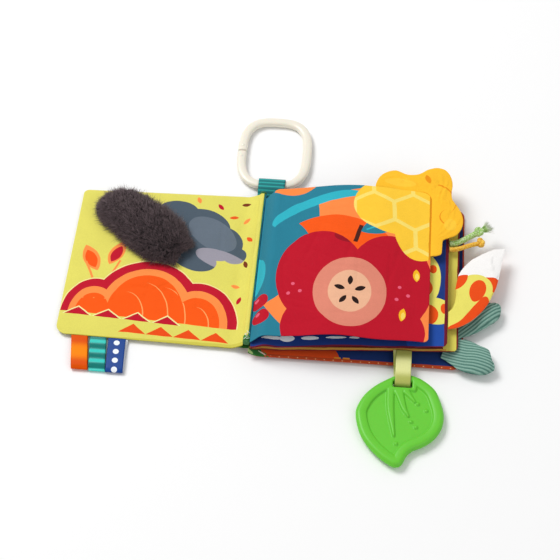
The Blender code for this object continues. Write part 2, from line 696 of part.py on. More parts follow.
def build_teether(body):
    """The teether: a plate with a rounded rim, a sunk panel, a slot, raised veins and dots."""

    def placed(shares, shrink=1.0):
        middle = np.array(TEETHER_MIDDLE_SHARES)
        shares = middle + (np.array(shares) - middle) * shrink
        return shares * (TEETHER_WIDTH / 2.0, -TEETHER_LENGTH) + (-TEETHER_SIDE_SHIFT, TEETHER_HINGE_BACK)

    base = TEETHER_BASE - body.place[2]
    top = base + TEETHER_THICKNESS
    panel = top - TEETHER_RECESS
    outline = smooth(TEETHER_OUTLINE_SHARES + TEETHER_OUTLINE_SHARES[:1], OUTLINE_POINT_COUNT + 1)[:-1]
    plate = outline_solid("teether", placed(outline), base, top, TEETHER_EDGE)
    piece = body.carry("teether", plate, "teether")
    recess = outline_solid("teether_panel", placed(outline, TEETHER_PANEL_SHARE), panel, top + TEETHER_SINK)
    cut_or_join(piece, "teether_panel", recess, "DIFFERENCE")
    half = TEETHER_RIBBON_WIDTH / 2.0 + SLOT_CLEARANCE
    near = TEETHER_HINGE_BACK - TEETHER_BAR
    far = near - SLOT_LENGTH
    corners = [(-half, near), (half, near), (half, far), (-half, far)]
    slot = outline_solid("teether_slot", corners, base - TEETHER_SINK, top + TEETHER_SINK)
    cut_or_join(piece, "teether_slot", slot, "DIFFERENCE")
    veins = outline_solid("teether_veins", placed(VEIN_SHARES), panel - TEETHER_SINK, panel + VEIN_RISE)
    cut_or_join(piece, "teether_veins", veins, "UNION")
    for number, (x, y) in enumerate(placed(DOT_SHARES)):
        name = f"teether_dot_{number}"
        dot = drum(name, DOT_RADIUS, TEETHER_SINK + DOT_RISE)
        height = panel + (DOT_RISE - TEETHER_SINK) / 2.0
        cut_or_join(piece, name, dot, "UNION", (x, y, height))


def form_lines(line, width, rows, across, seam_way=None):
    """Points of a flat form: its middle line spread sideways by its half widths, the root along seam_way."""
    centre = smooth(line, rows)
    ways = np.gradient(centre[:, :2], axis=0)
    ways /= np.linalg.norm(ways, axis=1, keepdims=True)
    sideways = np.stack([-ways[:, 1], ways[:, 0], np.zeros(rows)], axis=1)
    if seam_way is not None:
        share = np.clip(1.0 - np.arange(rows) / SEAM_BLEND_COUNT, 0.0, 1.0)[:, None] ** SEAM_BLEND_POWER
        sideways = sideways * (1.0 - share) + np.array(seam_way) * share
        sideways /= np.linalg.norm(sideways, axis=1, keepdims=True)
    half = smooth(width, rows)
    return centre[:, None, :] + sideways[:, None, :] * half[:, None, None] * across[None, :, None]


def raised(points, height):
    """The points moved in Z by a height at each."""
    moved = points.copy()
    moved[:, :, 2] += height
    return moved


def build_stuffed(name, body, line, width, half, looks, inside, seam_way=None):
    """A sewn form of two cloths with flat seams round a stuffing."""
    across = np.array(FORM_ACROSS_SHARES)
    round_over = np.sqrt(np.clip(1.0 - (across / FORM_ROUND_SHARE) ** 2, 0.0, 1.0))
    swell = smooth(half, FORM_ROW_COUNT)[:, None] - SEAM_HALF
    points = form_lines(line, width, FORM_ROW_COUNT, across, seam_way)
    crown = SEAM_HALF + np.maximum(swell, 0.0) * round_over
    sheet(f"{name}_front_cloth", body, raised(points, crown), CLOTH, -1.0, looks[0])
    sheet(f"{name}_back_cloth", body, raised(points, -crown), CLOTH, 1.0, looks[1])
    narrow = np.array(FORM_ACROSS_SHARES) * STUFFING_WIDTH_SHARE
    inner = form_lines(line, width, FORM_ROW_COUNT, narrow, seam_way)
    round_over = np.sqrt(1.0 - (narrow / FORM_ROUND_SHARE) ** 2)
    depth = SEAM_HALF + swell * round_over - STUFFING_INSET
    rows = slice(SEAM_BLEND_COUNT, FORM_ROW_COUNT - 1)
    filling(f"{name}_{inside}", body, raised(inner, depth)[rows], raised(inner, -depth)[rows], "wadding")


def straight(shares, length, angle, start_z, lift):
    """A straight middle line at an angle in the level plane, which climbs by a lift."""
    angle = math.radians(angle)
    return [(share * length * math.cos(angle), share * length * math.sin(angle), start_z + share * lift)
            for share in shares]


def build_fur_flap(body):
    """The plush flap: a thin backing that lies on the leaf, and a domed pile on it."""
    across = np.sin(np.linspace(-math.pi / 2.0, math.pi / 2.0, FUR_ACROSS_COUNT))
    line = straight(FUR_LINE_SHARES, FUR_LENGTH, FUR_ANGLE, 0.0, 0.0)
    width = np.array(FUR_WIDTH_SHARES) * FUR_HALF_WIDTH
    points = form_lines(line, width, FUR_ROW_COUNT, across)
    dome = FUR_RIM_SHARE + (1.0 - FUR_RIM_SHARE) * np.sqrt(1.0 - across**2)
    pile = smooth(np.array(FUR_PILE_SHARES) * FUR_PILE, FUR_ROW_COUNT)[:, None] * dome
    root = raised(points, FUR_BACKING + PIECE_GAP)
    filling("fur_flap_pile", body, raised(root, pile), root, "fur")
    slim = form_lines(line, width * FUR_BACKING_SHARE, FUR_ROW_COUNT, across)
    sheet("fur_flap_backing", body, slim, FUR_BACKING, 1.0, "fur")


def build_border(body):
    """The scalloped border round leaf A's outer corner: two cloths and a film between two lines."""
    size = LEAVES["leaf_a"]
    corner = np.array([size.reach, size.high])
    run = np.array([BORDER_TOP_RUN, BORDER_SIDE_RUN])
    shares = smooth(BORDER_OUTER_SHARES, BORDER_ROW_COUNT)
    outer = corner + shares * np.where(shares > 0.0, BORDER_REACH, run)
    centre = corner - CORNER_RADIUS
    away = np.maximum(outer - centre, 0.0)
    away /= np.linalg.norm(away, axis=1, keepdims=True)
    inner = np.minimum(outer, centre) + away * (CORNER_RADIUS + BORDER_SEAM_GAP)
    across = np.array(BORDER_ACROSS_SHARES)
    flat = inner[:, None, :] + (outer - inner)[:, None, :] * across[None, :, None]
    level = np.full(flat.shape[:2] + (1,), size.middle + BORDER_RISE - SPINE_Z)
    points = np.concatenate([flat, level], axis=2)
    reach = np.linalg.norm(outer - inner, axis=1)[:, None]
    middle_line = flat[:, len(across) // 2]
    steps = np.linalg.norm(np.diff(middle_line, axis=0), axis=1)
    along = np.concatenate([[0.0], np.cumsum(steps)])
    ends = pillow(np.minimum(along, along[-1] - along), BORDER_END_RAMP)[:, None]
    inside = np.minimum(across, 1.0 - across) * reach
    crown = SEAM_HALF + (BORDER_HALF - SEAM_HALF) * ends * pillow(inside, BORDER_RAMP)
    sheet("corner_border_front_cloth", body, raised(points, crown), CLOTH, -1.0, "gold")
    sheet("corner_border_back_cloth", body, raised(points, -crown), CLOTH, 1.0, "gold")
    film = raised(points, crown - CLOTH - PIECE_GAP)[BORDER_FILM_SKIP_COUNT:-BORDER_FILM_SKIP_COUNT, 2:-2]
    sheet("corner_border_film", body, film, FILM, -1.0, "film")


def build_cord(name, body, route, radius, look):
    """A free cord with flat ends, its knot, and its end's place and direction past the knot."""
    leaf = LEAVES["leaf_b"]
    points = smooth(route, CORD_POINT_COUNT) * MM + (leaf.reach, 0.0, leaf.middle - SPINE_Z)
    curve = bpy.data.curves.new(name, "CURVE")
    curve.dimensions = "3D"
    curve.bevel_depth = radius
    curve.bevel_resolution = CAP_RESOLUTION
    curve.use_fill_caps = True
    polyline(curve, points)
    body.carry(name, curve, look)
    way = Vector(points[-1] - points[-2]).normalized()
    length = radius * KNOT_LENGTH_SHARE
    t = np.linspace(0.0, 1.0, KNOT_ROW_COUNT)
    ridges = 1.0 - KNOT_RIDGE_SHARE * np.cos(2.0 * KNOT_RIDGE_COUNT * math.pi * t)
    ridges *= np.sin(math.pi * t) ** SWELL_POWER
    swell = radius * (KNOT_NECK_SHARE + (KNOT_BULGE_SHARE - KNOT_NECK_SHARE) * ridges)
    place = Vector(points[-1]) + way * PIECE_GAP
    aim(turned(f"{name}_knot", body, closed_profile(swell, length * t), look), place, way)
    return place + way * (length + PIECE_GAP), way


def closed_profile(radii, heights):
    """A profile from top to bottom that starts and ends on its axis."""
    line = list(zip(radii, heights))[::-1]
    return [(0.0, line[0][1]), *line, (0.0, line[-1][1])]


def aim(piece, place, way):
    """Sets a piece down with its Z axis along a direction."""
    piece.location = place
    piece.rotation_mode = "QUATERNION"
    piece.rotation_quaternion = way.to_track_quat("Z", "X")


def build_tuft(name, body, radius, place, way, look):
    """The frayed end past a knot, as a flared and flattened brush."""
    t = np.linspace(0.0, 1.0, TUFT_ROW_COUNT)
    swell = radius * (TUFT_ROOT_SHARE + TUFT_FLARE_SHARE * t**SWELL_POWER)
    tuft = turned(name, body, closed_profile(swell, TUFT_LENGTH * t), look)
    aim(tuft, place, way)
    tuft.scale.x = TUFT_FLAT_SHARE


def build_tags(cover):
    """The ribbon tags along the front cover's bottom seam."""
    leaf = Leaf(LEAVES["front_cover"])
    far = FRONT_REACH - TAG_INSET
    path = np.array(TAG_SHARES) * (TAG_LENGTH, TAG_RISE)
    for name, width, slant in (
        ("orange", ORANGE_TAG_WIDTH, ORANGE_SLANT_SHARE),
        ("teal", TEAL_TAG_WIDTH, TEAL_SLANT_SHARE),
        ("blue", BLUE_TAG_WIDTH, BLUE_SLANT_SHARE),
    ):
        sides = np.interp((far - width, far), -leaf.line[:, 0], leaf.along)
        edge = min(leaf.sides(sides)[0]) - SEWN_GAP
        body = Body(f"tag_{name}", (SPINE_X - far + width / 2.0, edge, TAG_HINGE_RISE), cover)
        build_ribbon(f"tag_{name}", body, path, width, f"{name}_ribbon", -1.0, slant)
        far -= width + TAG_SPACING


def main():
    """Builds the book, body by body."""
    spine = (SPINE_X, 0.0, SPINE_Z)
    root = Body("book", (0.0, 0.0, 0.0))
    back = Body("back_cover", spine, root)
    leaf_c = Body("leaf_c", spine, root)
    leaf_b = Body("leaf_b", spine, leaf_c)
    leaf_a = Body("leaf_a", spine, leaf_b)
    cover = Body("front_cover", spine, root)
    for name, body in zip(LEAVES, (back, leaf_c, leaf_b, leaf_a, cover)):
        build_leaf(name, body)
    build_spine(root)
    build_border(leaf_a)
    build_tags(cover)

    fur_place = (SPINE_X - FUR_ROOT_REACH, FUR_ROOT_Y, 2 * CROWN_HALF + PIECE_GAP)
    build_fur_flap(Body("fur_flap", fur_place, cover))

    size = LEAVES["leaf_b"]
    tail_place = (SPINE_X + size.reach + SEWN_GAP, TAIL_ROOT_Y, size.middle - TAIL_HINGE_DROP)
    tail = Body("tail_flap", tail_place, leaf_b)
    line = np.array(TAIL_LINE_SHARES) * (TAIL_RUN, TAIL_CLIMB, -TAIL_SAG)
    line[:, 2] += TAIL_HINGE_DROP - TAIL_DROP
    width = np.array(TAIL_WIDTH_SHARES) * TAIL_HALF_WIDTH
    half = np.array(TAIL_HALF_SHARES) * TAIL_HALF
    build_stuffed("tail_flap", tail, line, width, half, ("yellow", "white"), "wadding", (0.0, 1.0, 0.0))

    sprout_z = (LEAVES["back_cover"].middle + LEAVES["leaf_c"].middle) / 2.0 + SPROUT_RISE
    for name, tuck, y, length, angle, width, shares, half in (
        ("sprout_upper", UPPER_SPROUT_TUCK, UPPER_SPROUT_Y, UPPER_SPROUT_LENGTH, UPPER_SPROUT_ANGLE,
         UPPER_SPROUT_HALF_WIDTH, UPPER_WIDTH_SHARES, UPPER_SPROUT_HALF),
        ("sprout_lower", LOWER_SPROUT_TUCK, LOWER_SPROUT_Y, LOWER_SPROUT_LENGTH, LOWER_SPROUT_ANGLE,
         LOWER_SPROUT_HALF_WIDTH, LOWER_WIDTH_SHARES, LOWER_SPROUT_HALF),
    ):
        body = Body(name, (SPINE_X + BACK_REACH - tuck, y, sprout_z), root)
        line = straight(SPROUT_LINE_SHARES, length, angle, 0.0, SPROUT_LIFT)
        swell = np.array(SPROUT_HALF_SHARES) * half
        build_stuffed(name, body, line, np.array(shares) * width, swell, ("sage", "sage"), "stuffing")

    ribbon_root = BACK_HIGH + RING_RIBBON_ROOT_GAP
    ring_ribbon = Body("ring_ribbon", (RING_RIBBON_X, ribbon_root, CROWN_HALF + RING_RIBBON_HINGE_RISE), root)
    path = np.array(RING_RIBBON_SHARES) * (RING_RIBBON_LENGTH, RING_RIBBON_RISE)
    build_ribbon("ring_ribbon", ring_ribbon, path, RING_RIBBON_WIDTH, "teal_ribbon")
    ring_y = ribbon_root + RING_RIBBON_LENGTH - RING_END_CLEARANCE - RIBBON / 2.0 - RING_BAND_HALF
    build_ring(Body("ring", (RING_X, ring_y, RING_Z), ring_ribbon))

    size = LEAVES["leaf_c"]
    seam_y = -size.low - SEWN_GAP
    hinge = (TEETHER_X, seam_y, size.middle + TEETHER_RIBBON_HINGE_RISE)
    teether_ribbon = Body("teether_ribbon", hinge, leaf_c)
    loop = TEETHER_BASE + TEETHER_THICKNESS + TEETHER_LOOP_CLEARANCE + RIBBON / 2.0
    heights = np.array([size.middle, loop]) - RIBBON_GROUND_GAP
    shares = np.array(TEETHER_RIBBON_SHARES)
    path = np.stack([shares[:, 0] * TEETHER_RIBBON_LENGTH, shares[:, 1:] @ heights], axis=1)
    build_ribbon("teether_ribbon", teether_ribbon, path, TEETHER_RIBBON_WIDTH, "pale_ribbon", -1.0)
    in_slot = SLOT_LENGTH - SLOT_END_CLEARANCE + TEETHER_BAR - TEETHER_HINGE_BACK
    hinge_y = seam_y - TEETHER_RIBBON_LENGTH + in_slot
    hinge_z = TEETHER_BASE + TEETHER_THICKNESS / 2.0
    build_teether(Body("teether", (TEETHER_X, hinge_y, hinge_z), teether_ribbon))

    end, way = build_cord("green_cord", leaf_b, GREEN_ROUTE, GREEN_CORD_RADIUS, "green_yarn")
    build_tuft("green_cord_tuft", leaf_b, GREEN_CORD_RADIUS, end, way, "green_yarn")
    build_cord("yellow_cord", leaf_b, YELLOW_ROUTE, YELLOW_CORD_RADIUS, "yellow_yarn")


main()
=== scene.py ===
"""Finish of the crinkle cloth book: printed padded leaves, plush flap, ribbons, cords, ring and teether.

Metres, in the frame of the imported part: +X across the open book, +Y towards the hanging ring, +Z up from the
ground. A grid of points has its rows along a piece and its columns across it.
"""

from __future__ import annotations

import logging
import math
from dataclasses import dataclass, field
from enum import Enum
from functools import cached_property, partial, reduce
from typing import Callable

import bpy
import numpy as np
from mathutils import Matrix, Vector


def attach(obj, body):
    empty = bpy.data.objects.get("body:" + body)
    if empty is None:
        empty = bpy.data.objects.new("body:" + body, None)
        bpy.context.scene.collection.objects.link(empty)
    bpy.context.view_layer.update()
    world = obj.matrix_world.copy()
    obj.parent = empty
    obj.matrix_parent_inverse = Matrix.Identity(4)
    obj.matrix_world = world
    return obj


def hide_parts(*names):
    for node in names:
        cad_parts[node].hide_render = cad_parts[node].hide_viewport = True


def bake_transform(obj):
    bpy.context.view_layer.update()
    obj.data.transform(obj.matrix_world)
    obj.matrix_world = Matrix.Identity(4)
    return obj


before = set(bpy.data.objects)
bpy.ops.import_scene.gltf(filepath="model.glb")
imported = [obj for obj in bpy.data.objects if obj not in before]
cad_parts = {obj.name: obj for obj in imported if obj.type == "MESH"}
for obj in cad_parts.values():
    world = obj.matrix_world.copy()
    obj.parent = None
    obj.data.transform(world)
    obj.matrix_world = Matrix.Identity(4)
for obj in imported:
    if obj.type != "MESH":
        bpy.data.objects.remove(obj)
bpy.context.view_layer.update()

LOG = logging.getLogger("cloth_book")
Array = np.ndarray
Piece = bpy.types.Object
Socket = bpy.types.NodeSocket
MM = 0.001
TURN = 2.0 * math.pi
# A scale that flattens an axis out of a print, and the wave texture's bands per unit at scale one
FAR = 1.0e6
WAVE_UNIT = math.pi / 10.0

SPINE = np.array([-90.0, 0.0, 10.5]) * MM
SPINE_RADIUS = 3.0 * MM
SPINE_CLEARANCE = 0.35 * MM
SPINE_LENGTH = 148.0 * MM
CLOTH = 0.45 * MM
PIECE_GAP = 0.3 * MM
SEAM_HALF = PIECE_GAP / 2 + CLOTH
CROWN_HALF = 3.1 * MM
LEAF_GAP = 0.45 * MM
EDGE_RAMP = 35.0 * MM
ROOT_RAMP = 22.0 * MM
THIN_ROOT = 3.0 * MM
CORNER_RADIUS = 9.0 * MM
FLAT_DEPTH = 0.5 * MM
FILM_THICKNESS = 0.06 * MM
SIM_FRAMES = 20


def linear(colour: str) -> tuple[float, float, float, float]:
    """Gives the linear RGBA of an sRGB hex colour.

    Args:
        colour: A hash and six hex digits.

    Returns:
        Red, green, blue and full alpha.
    """
    srgb = np.array([int(colour[start : start + 2], 16) for start in (1, 3, 5)]) / 255.0
    rgb = np.where(srgb <= 0.04045, srgb / 12.92, ((srgb + 0.055) / 1.055) ** 2.4)
    return (*(float(part) for part in rgb), 1.0)


def add_node(
    tree: bpy.types.NodeTree, kind: str, *values: object, out: int | str = 0, named: dict | None = None,
    **settings: object,
) -> Socket:
    """Adds a shader node with its settings and links.

    Args:
        tree: The node tree that takes the node.
        kind: The node's class name, without its ShaderNode prefix.
        values: For each input in order, a value, the socket that feeds it, or None to leave it alone.
        out: Name or number of the output that is wanted.
        named: Further inputs, by name or number.
        settings: Property names and values.

    Returns:
        The wanted output.
    """
    node = tree.nodes.new(f"ShaderNode{kind}")
    for name, value in settings.items():
        setattr(node, name, value)
    for key, value in (dict(enumerate(values)) | (named or {})).items():
        if isinstance(value, Socket):
            tree.links.new(value, node.inputs[key])
        elif value is not None:
            node.inputs[key].default_value = value
    return node.outputs[out]


class Plane(Enum):
    """What a print or a weave is laid out on: the object's own space, or the cloth itself."""

    SPACE = "Object"
    CLOTH = "UV"


class Pattern(Enum):
    """How a finish lays its second colour over its first; ribs and bands are named by the axis they cross."""

    PLAIN = "plain"
    RIBS = "X"
    BANDS = "Y"
    FLECKS = "flecks"
    TIPS = "tips"


class Artwork:
    """Shapes printed one over another on a cloth, in millimetres of its plane.

    A shape is a socket whose value is below zero inside it. Turns are in degrees.
    """

    thread_half = 0.45
    wander_scale = 0.07

    def __init__(self, tree: bpy.types.NodeTree, ground: str, plane: Plane, hand: float) -> None:
        """Starts with a bare ground.

        Args:
            tree: The material's node tree.
            ground: Hex colour of the bare cloth.
            plane: What the print is laid out on.
            hand: How far edges wander from their formula, in millimetres, as in a drawing made by hand.
        """
        self.add = partial(add_node, tree)
        self.colour = linear(ground)
        source = self.add("TexCoord", out=plane.value)
        flat = self.add("Mapping", source, None, None, (MM, MM, MM), vector_type="TEXTURE")
        noise = self.add(
            "TexNoise", flat, named={"Scale": self.wander_scale}, out="Color", noise_dimensions="2D"
        )
        self.place = self.add("VectorMath", noise, (hand, hand, 0.0), flat, operation="MULTIPLY_ADD")

    def own(
        self, x: float, y: float, turn: float = 0.0, across: float = 1.0, along: float = 1.0
    ) -> tuple[Socket, Socket, Socket]:
        """Gives the place in a shape's own units, centred and turned, and its two parts across and along."""
        turned = (0.0, 0.0, math.radians(turn))
        own = self.add("Mapping", self.place, (x, y, 0.0), turned, (across, along, FAR), vector_type="TEXTURE")
        part = self.add("SeparateXYZ", own)
        return own, part, part.node.outputs[1]

    def oval(self, x: float, y: float, across: float, along: float = 0.0, turn: float = 0.0) -> Socket:
        """Gives an oval from its centre and half sizes."""
        own = self.own(x, y, turn, across, along or across)[0]
        length = self.add("VectorMath", own, operation="LENGTH", out="Value")
        return self.add("Math", length, 1.0, operation="SUBTRACT")

    def side(self, x: float, y: float, turn: float) -> Socket:
        """Gives all that lies to the left of a line through a point, the line turned from upright."""
        return self.own(x, y, turn)[1]

    def bar(self, x: float, y: float, across: float, along: float, turn: float = 0.0) -> Socket:
        """Gives a rectangle from its centre and half sizes."""
        parts = self.own(x, y, turn, across, along)[1:]
        reach = self.both(*(self.add("Math", part, operation="ABSOLUTE") for part in parts))
        return self.add("Math", reach, 1.0, operation="SUBTRACT")

    def beyond(self, x: float, y: float, across: float, along: float, corner: float) -> Socket:
        """Gives all outside a round-cornered panel: the length past its inner corners, less their radius."""
        away = self.add("VectorMath", self.own(x, y)[0], operation="ABSOLUTE")
        away = self.add("VectorMath", away, (across - corner, along - corner, 0.0), operation="SUBTRACT")
        away = self.add("VectorMath", away, (0.0, 0.0, 0.0), operation="MAXIMUM")
        length = self.add("VectorMath", away, operation="LENGTH", out="Value")
        return self.add("Math", corner, length, operation="SUBTRACT")

    def stitches(self, x: float, y: float, pitch: float, dash: float, turn: float = 0.0) -> Socket:
        """Gives a line of stitches through a point."""
        _, run, off = self.own(x, y, turn)
        step = self.add("Math", run, pitch / 2.0, operation="PINGPONG")
        off = self.add("Math", off, operation="ABSOLUTE")
        limits = ((step, dash / 2.0), (off, self.thread_half))
        return self.both(*(self.add("Math", *limit, operation="SUBTRACT") for limit in limits))

    def either(self, *shapes: Socket) -> Socket:
        """Gives the union of shapes."""
        return reduce(partial(self.add, "Math", operation="MINIMUM"), shapes)

    def both(self, *shapes: Socket) -> Socket:
        """Gives what shapes share."""
        return reduce(partial(self.add, "Math", operation="MAXIMUM"), shapes)

    def less(self, shape: Socket, cut: Socket) -> Socket:
        """Gives a shape less another."""
        return self.both(shape, self.add("Math", cut, -1.0, operation="MULTIPLY"))

    def petal(self, x: float, y: float, length: float, turn: float) -> Socket:
        """Gives a pointed petal of a length, where two discs meet."""
        radius, shift = 0.66 * length, 0.43 * length
        dx, dy = shift * math.cos(math.radians(turn)), shift * math.sin(math.radians(turn))
        return self.both(self.oval(x + dx, y + dy, radius), self.oval(x - dx, y - dy, radius))

    def zigzag(
        self, x: float, y: float, pitch: float, height: float, count: int, turn: float, inset: float = 0.0
    ) -> Socket:
        """Gives a row of triangles that stand on a line from a point, each drawn in by an inset."""
        _, run, up = self.own(x, y, turn)
        saw = self.add("Math", run, pitch / 2.0, operation="PINGPONG")
        roof = self.add("Math", saw, 2.0 * height / pitch, -inset, operation="MULTIPLY_ADD")
        limits = ((up, roof), (0.0, up), (0.0, run), (run, pitch * count))
        return self.both(*(self.add("Math", *limit, operation="SUBTRACT") for limit in limits))

    def comb(self, x: float, y: float, cell: float, line: float, turn: float) -> Socket:
        """Gives the walls of six-sided cells: the nearer of two offset lattices, to its cell's edge."""
        own = self.own(x, y, turn)[0]
        half = np.array([cell, cell * math.sqrt(3.0), FAR]) / 2.0
        nearest = []
        for shift in (0.0 * half, half):
            away = self.add("VectorMath", own, shift, operation="SUBTRACT")
            away = self.add("VectorMath", away, half, -half, operation="WRAP")
            away = self.add("VectorMath", away, operation="ABSOLUTE")
            leaning = (0.5, math.sqrt(0.75), 0.0)
            slanted = self.add("VectorMath", away, leaning, operation="DOT_PRODUCT", out="Value")
            nearest.append(self.both(self.add("SeparateXYZ", away), slanted))
        return self.add("Math", (cell - line) / 2.0, self.either(*nearest), operation="SUBTRACT")

    def paint(self, colour: str, *shapes: Socket) -> None:
        """Prints shapes over what is there."""
        inside = self.add("Math", self.either(*shapes), 0.0, operation="LESS_THAN")
        both = {6: self.colour, 7: linear(colour)}
        self.colour = self.add("Mix", inside, named=both, out=2, data_type="RGBA")


@dataclass(frozen=True)
class Finish:
    """What a surface is made of, as the eye sees it. Pitches are in millimetres."""

    name: str
    colour: str
    roughness: float
    sheen: float = 0.0
    specular: float = 0.5
    coat: float = 0.0
    glow: float = 0.0
    thread: float = 0.0
    relief: float = 0.0
    mottle: float = 0.05
    pattern: Pattern = Pattern.PLAIN
    second: str = "#FFFFFF"
    pitch: float = 1.0
    share: float = 0.5
    soft: float = 0.16
    plane: Plane = Plane.SPACE
    hand: float = 0.0
    artwork: Callable[[Artwork], None] | None = None

    def material(self) -> bpy.types.Material:
        """Makes the material, or gives the one made before.

        Returns:
            The material with its nodes.
        """
        made = bpy.data.materials.get(self.name)
        if made:
            return made
        made = bpy.data.materials.new(self.name)
        made.use_nodes = True
        made.diffuse_color = linear(self.colour)
        tree = made.node_tree
        surface = tree.nodes["Principled BSDF"]
        add = partial(add_node, tree)
        art = Artwork(tree, self.colour, self.plane, self.hand)
        if self.artwork:
            self.artwork(art)
        colour = self._second_colour(add, art)
        cloudy, grainy = (
            add("TexNoise", art.place, named={"Scale": scale, "Detail": 3.0}) for scale in (0.045, 0.9)
        )
        blend = add("Math", cloudy, 0.7, grainy, operation="MULTIPLY_ADD")
        light = add("MapRange", blend, 0.4, 1.3, 1.0 - self.mottle, 1.0 + self.mottle)
        shade = add("HueSaturation", named={"Value": light, "Color": colour})
        tree.links.new(shade, surface.inputs["Base Color"])
        if self.relief:
            bump = add("Bump", named=self._relief(add, art.place, grainy))
            tree.links.new(bump, surface.inputs["Normal"])
        for socket, value in (
            ("Roughness", self.roughness), ("Sheen Weight", self.sheen), ("Specular IOR Level", self.specular),
            ("Coat Weight", self.coat), ("Subsurface Weight", self.glow), ("Sheen Roughness", 0.45),
            ("Subsurface Scale", 2.0 * MM),
        ):
            surface.inputs[socket].default_value = value
        return made

    def _second_colour(self, add: Callable[..., Socket], art: Artwork) -> Socket | tuple:
        """Lays the second colour over the first in the finish's pattern, with soft edges."""
        if self.pattern is Pattern.PLAIN:
            return art.colour
        if self.pattern is Pattern.FLECKS:
            height = add("TexNoise", art.place, named={"Scale": 1.0 / self.pitch, "Detail": 2.0})
        elif self.pattern is Pattern.TIPS:
            height = add("SeparateXYZ", art.place, out=1)
        else:
            axis = self.pattern.value
            height = add("TexWave", art.place, WAVE_UNIT / self.pitch, out="Fac", bands_direction=axis)
        low, high = 1.0 - self.share - self.soft, 1.0 - self.share + self.soft
        ramp = add("MapRange", height, low, high, interpolation_type="SMOOTHSTEP")
        return add("Mix", ramp, named={6: art.colour, 7: linear(self.second)}, out=2, data_type="RGBA")

    def _relief(self, add: Callable[..., Socket], place: Socket, grain: Socket) -> dict:
        """Gives the inputs of a bump: the threads of a weave under the skin's grain, or that grain alone."""
        height = grain
        if self.thread:
            threads = (
                add("TexWave", place, WAVE_UNIT / self.thread, out="Fac", bands_direction=axis)
                for axis in "XY"
            )
            height = add("Math", grain, 1.5, add("Math", *threads, operation="ADD"), operation="MULTIPLY_ADD")
        return {"Strength": 0.6, "Distance": self.relief * MM, "Height": height}


# Printed polyester cloth, woven and brushed: matt, with a soft sheen at a glance. Its threads lie 0.35 mm
# apart, too fine to show from here, so they are drawn 0.9 mm apart.
def printed(
    name: str, colour: str, artwork: Callable[[Artwork], None] | None = None, **more: object
) -> Finish:
    """Gives a printed cloth of a ground colour."""
    values = {"sheen": 0.05, "specular": 0.18, "thread": 0.9, "relief": 0.12, "mottle": 0.07, "hand": 0.9}
    return Finish(name, colour, 0.85, artwork=artwork, **{**values, **more})


